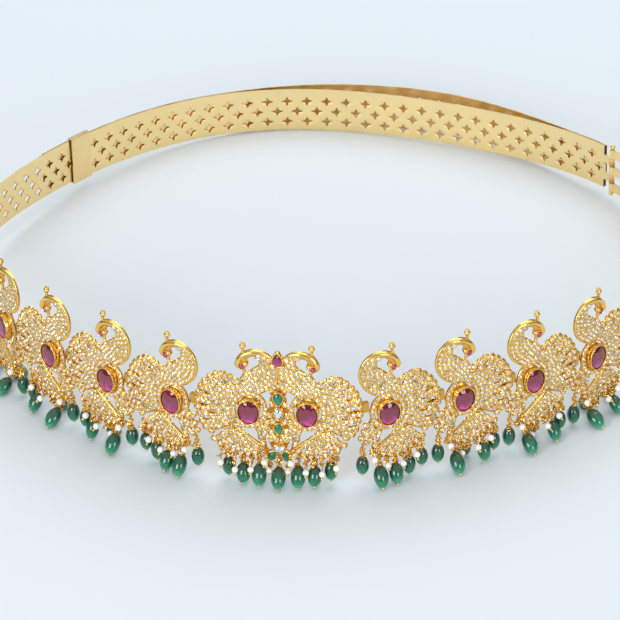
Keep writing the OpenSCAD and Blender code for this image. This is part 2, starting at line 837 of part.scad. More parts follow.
module side_head_pins() {
    color(gold)
        for (k = [1 : PANELS])
            at_panel(k) {
                for (row = BEADS)
                    bead_pin(k, row);
                for (row = PEARLS)
                    pearl_pin(k, row);
            }
}

// The two halves of the centre panel
module both_halves() {
    for (s = [0, 1])
        mirror([s, 0, 0])
            translate([ruby_half, 0, 0])
                children();
}

// A hinge pin with a small head at each end
module hinge_pin(low, high) {
    color(gold)
        translate([0, 0, low - 0.2]) {
            cylinder(h = high - low + 0.4, r = pin_w / 2, $fn = 24);
            for (z = [-0.5, high - low + 0.4])
                translate([0, 0, z])
                    cylinder(h = 0.5, r = pin_w / 2 + 0.3, $fn = 24);
        }
}

module chain_pin(k) {
    spot = hinge_at(k);
    translate([spot.x, spot.y, 0])
        hinge_pin(knuckle_low(0), knuckle_low(2) + knuckle_h);
}

// The side plates run from the last panel's hinge to the strips' own hinges. Each leaves the
// loop's line by what is needed to start at the chain's end, and joins it before its other end.
plate_from = 62;
function side_line(to, sign) =
    let (n = ceil((to - plate_from) / 3),
        start = loop_point(sign * plate_from),
        miss = [sign * chain_end.x, chain_end.y] - start)
    [for (i = [0 : n])
        let (t = plate_from + (to - plate_from) * i / n, f = 1 - smooth((t - plate_from) / 26))
        loop_point(sign * t) + loop_out(sign * t) * wave(rear(sign * t)) * smooth((t - plate_from) / (to - plate_from))
            + miss * f];
function line_normal(line, i) =
    let (n = len(line) - 1, d = line[min(n, i + 1)] - line[max(0, i - 1)]) [d.y, -d.x] / norm(d);
function side_plan(line, t, trim) =
    let (n = len(line) - 1)
    concat(
        [for (i = [trim : n - trim]) line[i] + line_normal(line, i) * t / 2],
        [for (i = [n - trim : -1 : trim]) line[i] - line_normal(line, i) * t / 2]
    );

// The outline of a knuckle at a spot and of the leaf that runs from it over a sheet. A leaf is a
// little thicker than the sheet that it carries.
leaf_more = 0.14;
leaf_lap = 0.8;
module knuckle_leaf(spot, run, t) {
    way = run / norm(run);
    side = [-way.y, way.x] * (t + leaf_more) / 2;
    far = spot + way * (norm(run) + leaf_lap);
    offset(delta = 0.01)
        difference() {
            union() {
                translate(spot)
                    circle(knuckle_r, $fn = 24);
                polygon([spot + side, spot - side, far - side, far + side]);
            }
            translate(spot)
                circle(pin_w / 2 + pin_gap, $fn = 24);
        }
}

// Knuckles in fifths of the strip's height; which says the ones that this piece has
fifth = strip_h / 5;
module tall_knuckles(which, spot, run, t) {
    for (i = which)
        translate([0, 0, -strip_h / 2 + i * fifth + knuckle_gap / 2])
            linear_extrude(fifth - knuckle_gap)
                knuckle_leaf(spot, run, t);
}

right_line = side_line(inner_end, 1);
left_line = side_line(-outer_start, -1);
module side_plate(line) {
    n = len(line) - 1;
    color(pale_gold) {
        translate([0, 0, -strip_h / 2])
            linear_extrude(strip_h)
                polygon(side_plan(line, side_t, 1));
        translate([0, 0, knuckle_low(1)])
            linear_extrude(knuckle_h)
                knuckle_leaf(line[0], line[1] - line[0], side_t);
        tall_knuckles([0, 2, 4], line[n], line[n - 1] - line[n], side_t);
    }
}

// The four-pointed stars pierced through a strip
module star() {
    linear_extrude(8, center = true)
        polygon([for (i = [0 : 7])
            let (a = 45 * i, r = i % 2 == 0 ? 1 : 0.42) [r * star_w / 2 * cos(a), r * star_h / 2 * sin(a)]]);
}

// The angle from one star to the next, so that a whole number fits between the outermost ones
function star_step() =
    let (span = STARS[1] - STARS[0])
    span / round(span * (loop_a + strip_wave) * PI / 180 / star_pitch);

// A row of stars between two angles, in step with the one at the given angle
module star_row(from, to, known, off, bulged) {
    step = star_step();
    for (i = [ceil((from - known) / step) : floor((to - known) / step)]) {
        t = known + i * step;
        spot = strip_point(t, off + (bulged ? bulge(t) : 0));
        out = loop_out(t);
        translate([spot.x, spot.y, -star_drop])
            rotate([0, 0, atan2(out.y, out.x) + 90])
                rotate([90, 0, 0])
                    star();
    }
}

// Where the inner strip starts and ends, and the strips' own places outside the loop's line
inner_from = 360 + inner_start;
module rear_strip_inner() {
    hinge = strip_point(inner_end, 0);
    near = strip_point(inner_end + 2.2, 0);
    color(pale_gold) {
        difference() {
            translate([0, 0, -strip_h / 2])
                linear_extrude(strip_h)
                    polygon(strip_plan(inner_end + 2, inner_from, 0, strip_t, false));
            star_row(inner_end + 4, inner_from - 4, STARS[0] + star_step() / 2, 0, false);
        }
        tall_knuckles([1, 3], hinge, near - hinge, strip_t);
        sleeve();
    }
}

// The sleeve is soldered over the inner strip's end, and the outer strip passes through it. The
// tail of its outer wall is a thinner sheet that starts inside that wall.
sleeve_turn = sleeve_l / loop_a * 180 / PI;
tail_less = 0.16;
module sleeve() {
    inner_off = -strip_t / 2 - sleeve_t / 2 + weld;
    outer_face = outer_off + strip_t / 2 + strip_gap + sleeve_t / 2;
    half = strip_h / 2 + strip_gap;
    end = inner_from + sleeve_turn / 2;
    difference() {
        translate([0, 0, -half - sleeve_t])
            linear_extrude(2 * (half + sleeve_t))
                polygon(strip_plan(end - sleeve_turn, end,
                    (inner_off + outer_face) / 2, outer_face - inner_off + sleeve_t, false));
        translate([0, 0, -half])
            linear_extrude(2 * half)
                polygon(strip_plan(end - sleeve_turn - 2, end + 2,
                    (inner_off + outer_face) / 2, outer_face - inner_off - sleeve_t, false));
    }
    translate([0, 0, -strip_h / 2])
        linear_extrude(strip_h)
            polygon(strip_plan(end - 2 * weld, end + sleeve_tail / loop_a * 180 / PI, outer_face,
                sleeve_t - tail_less, false));
}

module rear_strip_outer() {
    from = 360 + outer_start;
    hinge = strip_point(from, 0);
    near = strip_point(from - 2.2, outer_off);
    color(pale_gold) {
        difference() {
            translate([0, 0, -strip_h / 2])
                linear_extrude(strip_h)
                    polygon(strip_plan(outer_end + 4, from - 2, outer_off, strip_t, true));
            star_row(inner_from + 5, from - 4, star_of_outer, outer_off, false);
        }
        tall_knuckles([1, 3], hinge, near - hinge, strip_t);
    }
}

// The strips' hinge pins end in two small balls at the top and the bottom
module ball_pin(at) {
    reach = strip_h / 2 + 0.2;
    color(gold)
        translate([at.x, at.y, 0]) {
            translate([0, 0, -reach])
                cylinder(h = 2 * reach, r = pin_w / 2, $fn = 24);
            for (s = [-1, 1])
                translate([0, 0, s * (reach + 0.9)])
                    sphere(1.1, $fn = 24);
        }
}

module all_eyes() {
    both_halves()
        eye_stone();
    for (s = [0, 1], k = [1 : PANELS])
        mirror([s, 0, 0])
            at_panel(k)
                eye_stone();
}

module clear_oval() {
    color(clear_white)
        seated(oval_at.x, oval_at.y, plate_front + setting_rise - 0.2)
            cut_stone(ellipse(oval_w / 2, oval_h / 2, 16), 0.85, 0.45);
}

module centre_beads() {
    color(emerald_green) {
        green_bead(0, MIDDLE_BEAD);
        both_halves()
            for (row = CENTRE_BEADS)
                green_bead(0, row);
    }
}

module centre_pearls() {
    color(pearl_white) {
        for (s = [0, 1])
            mirror([s, 0, 0])
                pearl(0, MIDDLE_PEARL, [MIDDLE_BEAD]);
        both_halves()
            for (row = CENTRE_PEARLS)
                pearl(0, row, CENTRE_BEADS);
    }
}

module centre_head_pins() {
    color(gold) {
        bead_pin(0, MIDDLE_BEAD);
        for (s = [0, 1])
            mirror([s, 0, 0])
                pearl_pin(0, MIDDLE_PEARL, [MIDDLE_BEAD]);
        both_halves() {
            for (row = CENTRE_BEADS)
                bead_pin(0, row);
            for (row = CENTRE_PEARLS)
                pearl_pin(0, row, CENTRE_BEADS);
        }
    }
}

on_surface() centre_panel();  // panel_centre
on_surface() at_panel(1) single_panel();  // panel_right_1
on_surface() at_panel(2) single_panel();  // panel_right_2
on_surface() at_panel(3) single_panel();  // panel_right_3
on_surface() at_panel(4) single_panel();  // panel_right_4
on_surface() mirror([1, 0, 0]) at_panel(1) single_panel();  // panel_left_1
on_surface() mirror([1, 0, 0]) at_panel(2) single_panel();  // panel_left_2
on_surface() mirror([1, 0, 0]) at_panel(3) single_panel();  // panel_left_3
on_surface() mirror([1, 0, 0]) at_panel(4) single_panel();  // panel_left_4
on_surface() translate([ruby_half, 0, 0]) ruby();  // ruby_centre_right
on_surface() translate([-ruby_half, 0, 0]) ruby();  // ruby_centre_left
on_surface() at_panel(1) ruby();  // ruby_right_1
on_surface() at_panel(2) ruby();  // ruby_right_2
on_surface() at_panel(3) ruby();  // ruby_right_3
on_surface() at_panel(4) ruby();  // ruby_right_4
on_surface() mirror([1, 0, 0]) at_panel(1) ruby();  // ruby_left_1
on_surface() mirror([1, 0, 0]) at_panel(2) ruby();  // ruby_left_2
on_surface() mirror([1, 0, 0]) at_panel(3) ruby();  // ruby_left_3
on_surface() mirror([1, 0, 0]) at_panel(4) ruby();  // ruby_left_4
on_surface() all_eyes();  // eye_stones
on_surface() column_stone(COLUMN[0], ruby_red);  // crown_ruby
on_surface() column_stone(COLUMN[1], emerald_green);  // emerald_drop_upper
on_surface() column_stone(COLUMN[2], clear_white);  // clear_drop
on_surface() column_stone(COLUMN[3], emerald_green);  // emerald_drop_lower
on_surface() clear_oval();
on_surface() leaf_stone();  // emerald_leaf_right
on_surface() mirror([1, 0, 0]) leaf_stone();  // emerald_leaf_left
on_surface() centre_beads();  // green_beads_centre
on_surface() side_beads();  // green_beads_right
on_surface() mirror([1, 0, 0]) side_beads();  // green_beads_left
on_surface() centre_pearls();  // pearls_centre
on_surface() side_pearls();  // pearls_right
on_surface() mirror([1, 0, 0]) side_pearls();  // pearls_left
on_surface() centre_head_pins();  // head_pins_centre
on_surface() side_head_pins();  // head_pins_right
on_surface() mirror([1, 0, 0]) side_head_pins();  // head_pins_left
on_surface() chain_pin(1);  // hinge_pin_right_1
on_surface() chain_pin(2);  // hinge_pin_right_2
on_surface() chain_pin(3);  // hinge_pin_right_3
on_surface() chain_pin(4);  // hinge_pin_right_4
on_surface() mirror([1, 0, 0]) chain_pin(1);  // hinge_pin_left_1
on_surface() mirror([1, 0, 0]) chain_pin(2);  // hinge_pin_left_2
on_surface() mirror([1, 0, 0]) chain_pin(3);  // hinge_pin_left_3
on_surface() mirror([1, 0, 0]) chain_pin(4);  // hinge_pin_left_4
on_surface() chain_pin(PANELS + 1);  // end_pin_right
on_surface() mirror([1, 0, 0]) chain_pin(PANELS + 1);  // end_pin_left
on_surface() ball_pin(strip_point(inner_end, 0));  // strip_pin_right
on_surface() ball_pin(strip_point(360 + outer_start, 0));  // strip_pin_left
on_surface() side_plate(right_line);  // side_plate_right
on_surface() side_plate(left_line);  // side_plate_left
on_surface() rear_strip_inner();
on_surface() rear_strip_outer();
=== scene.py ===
"""The looks of a hinged waist belt: cast peacock panels in front, springy pierced strips behind.

Sizes are in millimetres in the belt's own frame, as in the part's source: its origin is at the
middle of the front, on the hinge pins' plane and at the rubies' height, with x to the right, y back
and z up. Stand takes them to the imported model's frame, in metres.
"""

from __future__ import annotations

import logging
import math
from dataclasses import dataclass, field
from enum import Enum
from typing import Callable

import bpy
import numpy as np
from mathutils import Matrix

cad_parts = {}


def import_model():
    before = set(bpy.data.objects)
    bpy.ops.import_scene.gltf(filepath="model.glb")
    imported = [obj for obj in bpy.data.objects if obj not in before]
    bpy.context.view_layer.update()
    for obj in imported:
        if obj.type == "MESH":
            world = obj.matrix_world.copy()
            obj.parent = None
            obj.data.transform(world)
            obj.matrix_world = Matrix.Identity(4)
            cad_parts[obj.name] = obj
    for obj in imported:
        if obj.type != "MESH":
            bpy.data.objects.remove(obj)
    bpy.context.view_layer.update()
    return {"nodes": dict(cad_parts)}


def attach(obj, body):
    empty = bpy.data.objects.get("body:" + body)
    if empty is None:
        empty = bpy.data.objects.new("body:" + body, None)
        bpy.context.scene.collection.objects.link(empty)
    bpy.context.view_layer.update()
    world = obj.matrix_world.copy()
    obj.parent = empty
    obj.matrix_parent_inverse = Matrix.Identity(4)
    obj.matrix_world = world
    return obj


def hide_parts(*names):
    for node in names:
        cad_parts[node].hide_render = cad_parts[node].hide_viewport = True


LOG = logging.getLogger("belt")
MM = 0.001
SEED = 7
FORWARD = np.array([0.0, -1.0, 0.0])


class Side(Enum):
    """The side of the belt that a panel hangs on, as the sign of its x."""

    RIGHT = 1
    LEFT = -1


# Small helpers


def linear(code: str) -> tuple[float, float, float, float]:
    """Turn an sRGB hex colour into the linear colour that the shaders take.

    Args:
        code: six hex digits after a hash sign.

    Returns:
        The linear red, green, blue and an alpha of one.
    """
    parts = np.array([int(code[i : i + 2], 16) for i in (1, 3, 5)]) / 255
    low, high = parts / 12.92, ((parts + 0.055) / 1.055) ** 2.4
    red, green, blue = np.where(parts <= 0.04045, low, high)
    return float(red), float(green), float(blue), 1.0


def smooth(t: np.ndarray | float) -> np.ndarray:
    """Ease from 0 to 1 as t does: three t squared less two t cubed."""
    s = np.clip(t, 0, 1)
    return s * s * (3 - 2 * s)


def add_node(tree: bpy.types.NodeTree, kind: str, settings: dict, links: dict) -> bpy.types.Node:
    """Add one node to a tree.

    Args:
        tree: the tree that gets the node.
        kind: the node's type name.
        settings: values by name, for the node's own properties or else for its input sockets.
        links: output sockets by the name of the input that each one feeds.

    Returns:
        The new node.
    """
    node = tree.nodes.new(kind)
    for name, value in settings.items():
        if isinstance(name, str) and hasattr(node, name):
            setattr(node, name, value)
        else:
            node.inputs[name].default_value = value
    for name, socket in links.items():
        tree.links.new(socket, node.inputs[name])
    return node


def ramp(
    tree: bpy.types.NodeTree, factor: bpy.types.NodeSocket, stops: list[tuple[float, str]]
) -> bpy.types.NodeSocket:
    """Add a colour ramp with the given stops and return its colour output."""
    node = add_node(tree, "ShaderNodeValToRGB", {}, {"Fac": factor})
    elements = node.color_ramp.elements
    while len(elements) < len(stops):
        elements.new(0.5)
    for element, (place, code) in zip(elements, stops):
        element.position = place
        element.color = linear(code)
    return node.outputs["Color"]


# Finishes


@dataclass(frozen=True)
class Finish:
    """What every finish has: a name, and the nodes that each kind of finish adds."""

    name: str

    def material(self) -> bpy.types.Material:
        """Build the material once and return it."""
        found = bpy.data.materials.get(self.name)
        if found:
            return found
        made = bpy.data.materials.new(self.name)
        made.use_nodes = True
        made.node_tree.nodes.clear()
        shader = self.shader(made.node_tree)
        add_node(made.node_tree, "ShaderNodeOutputMaterial", {}, {"Surface": shader.outputs[0]})
        return made

    def shader(self, tree: bpy.types.NodeTree) -> bpy.types.Node:
        """Add the finish's own nodes and return its shader."""
        raise NotImplementedError


@dataclass(frozen=True)
class GoldPlate(Finish):
    """Gold plate on brass, with painted shade: where the attribute shade is 1, in the depths, the gold is
    painted the orange that gold lighting gold gives there. The grain bumps are those of the casting or of the
    rolled sheet."""

    light: str = "#EFC36C"
    # deep is the colour of the painted shade in the depths
    deep: str = "#B0680F"
    roughness: float = 0.23
    grain_mm: float = 0.5
    grain_depth: float = 0.12
    stretch: tuple[float, float, float] = (1.0, 1.0, 1.0)

    def shader(self, tree: bpy.types.NodeTree) -> bpy.types.Node:
        """Mix the lit gold and the painted shade of the depths by the attribute, and roughen the surface by
        fine noise.
        """
        shade = add_node(tree, "ShaderNodeAttribute", {"attribute_name": "shade"}, {})
        place = add_node(tree, "ShaderNodeTexCoord", {}, {})
        mapped = add_node(
            tree, "ShaderNodeMapping", {"Scale": self.stretch}, {"Vector": place.outputs["Object"]}
        )
        grain = add_node(
            tree, "ShaderNodeTexNoise", {"Scale": 1 / (self.grain_mm * MM), "Detail": 3.0},
            {"Vector": mapped.outputs["Vector"]},
        )
        patches = add_node(
            tree, "ShaderNodeTexNoise", {"Scale": 1 / (9 * MM), "Detail": 2.0},
            {"Vector": place.outputs["Object"]},
        )
        rough = add_node(
            tree, "ShaderNodeMapRange",
            {
                "From Min": 0.3, "From Max": 0.7,
                "To Min": self.roughness * 0.75, "To Max": self.roughness * 1.3,
            },
            {"Value": patches.outputs["Fac"]},
        )
        bump = add_node(
            tree, "ShaderNodeBump", {"Strength": self.grain_depth, "Distance": 0.02 * MM * 4},
            {"Height": grain.outputs["Fac"]},
        )
        # Painted shade: the attribute shade turns the gold from light towards deep, the orange of its hollows
        colour = ramp(tree, shade.outputs["Fac"], [(0.0, self.light), (1.0, self.deep)])
        return add_node(
            tree, "ShaderNodeBsdfPrincipled", {"Metallic": 1.0},
            {"Base Color": colour, "Roughness": rough.outputs["Result"], "Normal": bump.outputs["Normal"]},
        )


@dataclass(frozen=True)
class CutStone(Finish):
    """Cut glass or corundum, foiled behind, with painted light and shade: darker towards its upper side and
    lighter towards its lower side. The attribute shade runs from 0 at the stone's top edge to 1 at its bottom
    edge."""

    stops: tuple[tuple[float, str], ...] = ((0.0, "#6E0722"), (1.0, "#B5357F"))
    ior: float = 1.76
    roughness: float = 0.05
    metallic: float = 0.0
    transmission: float = 0.0
    fire: float = 0.0

    def shader(self, tree: bpy.types.NodeTree) -> bpy.types.Node:
        """Paint the stone's colour from edge to edge, darker at the top and lighter at the bottom, under a
        clear, glossy surface.

        Cells of painted reflection, standing in for its back facets, break the colour up: fire is how far
        they stray from it.
        """
        shade = add_node(tree, "ShaderNodeAttribute", {"attribute_name": "shade"}, {})
        place = add_node(tree, "ShaderNodeTexCoord", {}, {})
        facets = add_node(
            tree, "ShaderNodeTexVoronoi", {"Scale": 1 / (1.7 * MM)}, {"Vector": place.outputs["Object"]}
        )
        parts = add_node(tree, "ShaderNodeSeparateColor", {}, {"Color": facets.outputs["Color"]})
        stray = add_node(
            tree, "ShaderNodeMapRange", {"To Min": -self.fire, "To Max": self.fire},
            {"Value": parts.outputs["Red"]},
        )
        level = add_node(
            tree, "ShaderNodeMath", {"operation": "ADD", "use_clamp": True},
            {0: shade.outputs["Fac"], 1: stray.outputs["Result"]},
        )
        # Painted light and shade: the ramp runs from the shaded top of the stone to its lit bottom, with the
        # painted reflection cells added
        colour = ramp(tree, level.outputs[0], list(self.stops))
        return add_node(
            tree, "ShaderNodeBsdfPrincipled",
            {
                "IOR": self.ior, "Roughness": self.roughness, "Metallic": self.metallic,
                "Transmission Weight": self.transmission, "Coat Weight": 0.25, "Coat Roughness": 0.02,
            },
            {"Base Color": colour},
        )


@dataclass(frozen=True)
class GreenGlass(Finish):
    """Dyed green quartz, tumbled and polished, with painted light: darker at the top and painted paler
    towards the bottom, where light leaves it and bounces from the floor. The attribute shade runs from 0 at
    the bead's top to 1 at its bottom."""

    def shader(self, tree: bpy.types.NodeTree) -> bpy.types.Node:
        """Cloud the bead's colour a little, paint it paler towards the bottom, and let light bleed under its
        surface.
        """
        shade = add_node(tree, "ShaderNodeAttribute", {"attribute_name": "shade"}, {})
        place = add_node(tree, "ShaderNodeTexCoord", {}, {})
        clouds = add_node(
            tree, "ShaderNodeTexNoise", {"Scale": 1 / (2.2 * MM), "Detail": 3.0},
            {"Vector": place.outputs["Object"]},
        )
        lift = add_node(
            tree, "ShaderNodeMapRange", {"From Min": 0.3, "From Max": 0.7, "To Min": -0.14, "To Max": 0.14},
            {"Value": clouds.outputs["Fac"]},
        )
        level = add_node(
            tree, "ShaderNodeMath", {"operation": "ADD"},
            {0: shade.outputs["Fac"], 1: lift.outputs["Result"]},
        )
        # Painted light: dark at the top, and the light that comes out of the bead's lower part painted in
        # paler green
        stops = [(0.0, "#003A26"), (0.45, "#00573A"), (0.8, "#0A7F58"), (1.0, "#3CA880")]
        colour = ramp(tree, level.outputs[0], stops)
        return add_node(
            tree, "ShaderNodeBsdfPrincipled",
            {
                "IOR": 1.54, "Roughness": 0.12, "Subsurface Weight": 0.2,
                "Subsurface Radius": (0.3, 1.0, 0.7), "Subsurface Scale": 1.2 * MM,
                "Coat Weight": 0.8, "Coat Roughness": 0.03,
            },
            {"Base Color": colour},
        )


@dataclass(frozen=True)
class Pearl(Finish):
    """Glass beads dipped in pearl essence: white, a soft glow and a glossy skin."""

    def shader(self, tree: bpy.types.NodeTree) -> bpy.types.Node:
        """A white body, a little uneven, under a thin glossy skin."""
        place = add_node(tree, "ShaderNodeTexCoord", {}, {})
        clouds = add_node(
            tree, "ShaderNodeTexNoise", {"Scale": 1 / (1.5 * MM), "Detail": 2.0},
            {"Vector": place.outputs["Object"]},
        )
        colour = ramp(tree, clouds.outputs["Fac"], [(0.3, "#FFFDF9"), (0.7, "#F6F1EA")])
        return add_node(
            tree, "ShaderNodeBsdfPrincipled",
            {
                "IOR": 1.53, "Roughness": 0.28, "Subsurface Weight": 0.2,
                "Subsurface Radius": (1.0, 0.9, 0.8), "Subsurface Scale": 0.6 * MM,
                "Coat Weight": 0.7, "Coat Roughness": 0.08,
            },
            {"Base Color": colour},
        )


@dataclass(frozen=True)
class Paper(Finish):
    """The seamless paper that the belt stands on."""

    code: str = "#DDE4E9"

    def shader(self, tree: bpy.types.NodeTree) -> bpy.types.Node:
        """A matt pale blue-grey."""
        return add_node(
            tree, "ShaderNodeBsdfPrincipled",
            {"Base Color": linear(self.code), "Roughness": 0.9, "Specular IOR Level": 0.15}, {},
        )


CAST_GOLD = GoldPlate("cast_gold_plate")
POLISHED_GOLD = GoldPlate(
    "polished_gold_wire", light="#F3C96E", deep="#C9821F", roughness=0.13, grain_depth=0.01
)
SHEET_GOLD = GoldPlate(
    "rolled_satin_gold_sheet", light="#FDE2A4", deep="#C9821F", roughness=0.34, grain_mm=0.35,
    grain_depth=0.10, stretch=(0.35, 0.35, 1.0),
)
# Painted shade at the top, a mauve painted reflection of the sky across the middle and pink painted light at
# the bottom
RUBY_GLASS = CutStone(
    "cut_ruby_glass",
    stops=(
        (0.0, "#50000F"), (0.22, "#74021A"), (0.34, "#860826"), (0.46, "#701238"),
        (0.64, "#841E4A"), (0.76, "#9A2260"), (0.92, "#C43490"), (1.0, "#D046A2"),
    ),
    fire=0.16,
)
# Each of these stones' stops runs from its painted shade at the top to its painted light at the bottom
EYE_GLASS = CutStone("cut_pink_glass", stops=((0.0, "#8C0E58"), (1.0, "#D42C98")))
CROWN_GLASS = CutStone("cut_crown_glass", stops=((0.0, "#6C0630"), (0.6, "#8E0C52"), (1.0, "#C42C88")))
EMERALD_GLASS = CutStone(
    "cut_emerald_glass", stops=((0.0, "#04553A"), (0.6, "#0E7C58"), (1.0, "#2FA27C")), ior=1.58, fire=0.3
)
CLEAR_STONE = CutStone(
    "cut_clear_stone", stops=((0.0, "#C9CDD2"), (1.0, "#F4F6F8")), ior=2.17, metallic=0.8, roughness=0.04,
    fire=0.5,
)
# Its stops run from a dark to a bright painted reflection
PAVE_STONE = CutStone(
    "pave_clear_stone", stops=((0.0, "#8D9299"), (0.35, "#D5D9DE"), (1.0, "#FFFFFF")), ior=2.17,
    metallic=0.85, roughness=0.06,
)
GREEN_BEAD = GreenGlass("tumbled_green_quartz")
PEARL = Pearl("imitation_pearl")
PAPER = Paper("seamless_paper")


# Places


@dataclass(frozen=True)
class Stand:
    """How the belt stands: leaning from its low back up to its front, centred on the origin."""

    tilt: float = 4.75
    middle: tuple[float, float] = (-0.4177, 127.724)
    lift: float = 32.1681

    def place(self, points: np.ndarray) -> np.ndarray:
        """Turn points about x by the lean, centre and lift them, and give metres.

        Args:
            points: an n by 3 array in the belt's own frame, in millimetres.

        Returns:
            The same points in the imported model's frame, in metres.
        """
        c, s = math.cos(math.radians(self.tilt)), math.sin(math.radians(self.tilt))
        x, y, z = np.asarray(points, float).T
        turned = np.stack([x - self.middle[0], y * c + z * s - self.middle[1], z * c - y * s + self.lift], 1)
        return turned * MM


STAND = Stand()


@dataclass(frozen=True)
class Seat:
    """A panel's own frame in the belt's: x to the panel's outer side, -y out of its front, z up."""

    turn: float
    spot: tuple[float, float]
    side: Side

    def place(self, points: np.ndarray) -> np.ndarray:
        """Turn about the upright, move to the spot and mirror to the panel's side."""
        c, s = math.cos(math.radians(self.turn)), math.sin(math.radians(self.turn))
        x, y, z = np.asarray(points, float).T
        return np.stack(
            [self.side.value * (x * c - y * s + self.spot[0]), x * s + y * c + self.spot[1], z], 1
        )

    @property
    def flipped(self) -> bool:
        """Whether the mirror turns faces inside out."""
        return self.side is Side.LEFT


@dataclass(frozen=True)
class Chain:
    """The chain of panels seen from above: each bends from the one before it at a hinge pin."""

    pitch: float = 30.4
    hinge_in: float = 11.8
    ruby_half: float = 11.4
    bends: tuple[float, ...] = (23.0, 6.7, 7.9, 10.7)

    def heading(self, k: int) -> float:
        """The sum of the bends up to panel k, in degrees."""
        return sum(self.bends[:k])

    def hinge(self, k: int) -> np.ndarray:
        """The place of the k-th hinge in plan, counted from the centre panel's own."""
        if k == 1:
            return np.array([self.ruby_half + self.pitch - self.hinge_in, 0.0])
        a = math.radians(self.heading(k - 1))
        return self.hinge(k - 1) + self.pitch * np.array([math.cos(a), math.sin(a)])

    def seat(self, k: int, side: Side) -> Seat:
        """The frame of panel k on one side, its origin at its ruby; 0 is half of the centre panel."""
        if k == 0:
            return Seat(0.0, (self.ruby_half, 0.0), side)
        a = math.radians(self.heading(k))
        spot = self.hinge(k) + self.hinge_in * np.array([math.cos(a), math.sin(a)])
        return Seat(self.heading(k), (float(spot[0]), float(spot[1])), side)


CHAIN = Chain()
PANELS = len(CHAIN.bends)
CENTRE = Seat(0.0, (0.0, 0.0), Side.RIGHT)


@dataclass(frozen=True)
class Loop:
    """The line that the strips follow, by angle in degrees from the front."""

    a: float = 146.4
    b: float = 132.7
    skew: float = 1.7
    front: float = -4.48
    wave: float = 3.2
    waves: float = 4.5
    wave_at: float = 202.3
    bulge: float = 8.4
    bulge_at: float = 167.4
    bulge_reach: tuple[float, float] = (31.4, 40.8)

    def out(self, t: np.ndarray) -> np.ndarray:
        """The unit normal of the ellipse, pointing out of the loop."""
        r = np.radians(t)
        d = np.stack([self.b * np.sin(r), -self.a * np.cos(r)], -1)
        return d / np.linalg.norm(d, axis=-1, keepdims=True)

    def standoff(self, t: np.ndarray) -> np.ndarray:
        """How far the outer strip stands off the inner one: a squared cosine about its widest."""
        d = np.where(t < 0, t + 360, t) - self.bulge_at
        s = d / np.where(d < 0, *self.bulge_reach)
        return np.where(np.abs(s) < 1, self.bulge * np.cos(np.radians(90 * s)) ** 2, 0.0)

    def point(self, t: np.ndarray, off: np.ndarray | float, bulged: bool = False) -> np.ndarray:
        """The line's point in plan: an ellipse with a few waves in its rear half.

        Args:
            t: angles in degrees from the front.
            off: distance outside the line.
            bulged: whether the outer strip's standoff is added.

        Returns:
            x and y for each angle.
        """
        r = np.radians(t)
        rear = np.where(t < 0, t + 360, t)
        ease = smooth((np.where(np.abs(rear - 180) < 180, rear, 0) - 95) / 25)
        away = self.wave * np.cos(np.radians(self.waves * (rear - self.wave_at))) * ease + off
        if bulged:
            away = away + self.standoff(t)
        x = self.a * np.sin(r) + self.skew * (1 - np.cos(r)) / 2
        y = self.b * (1 - np.cos(r)) + self.front
        return np.stack([x, y], -1) + self.out(t) * np.asarray(away)[..., None]


LOOP = Loop()


# Surfaces


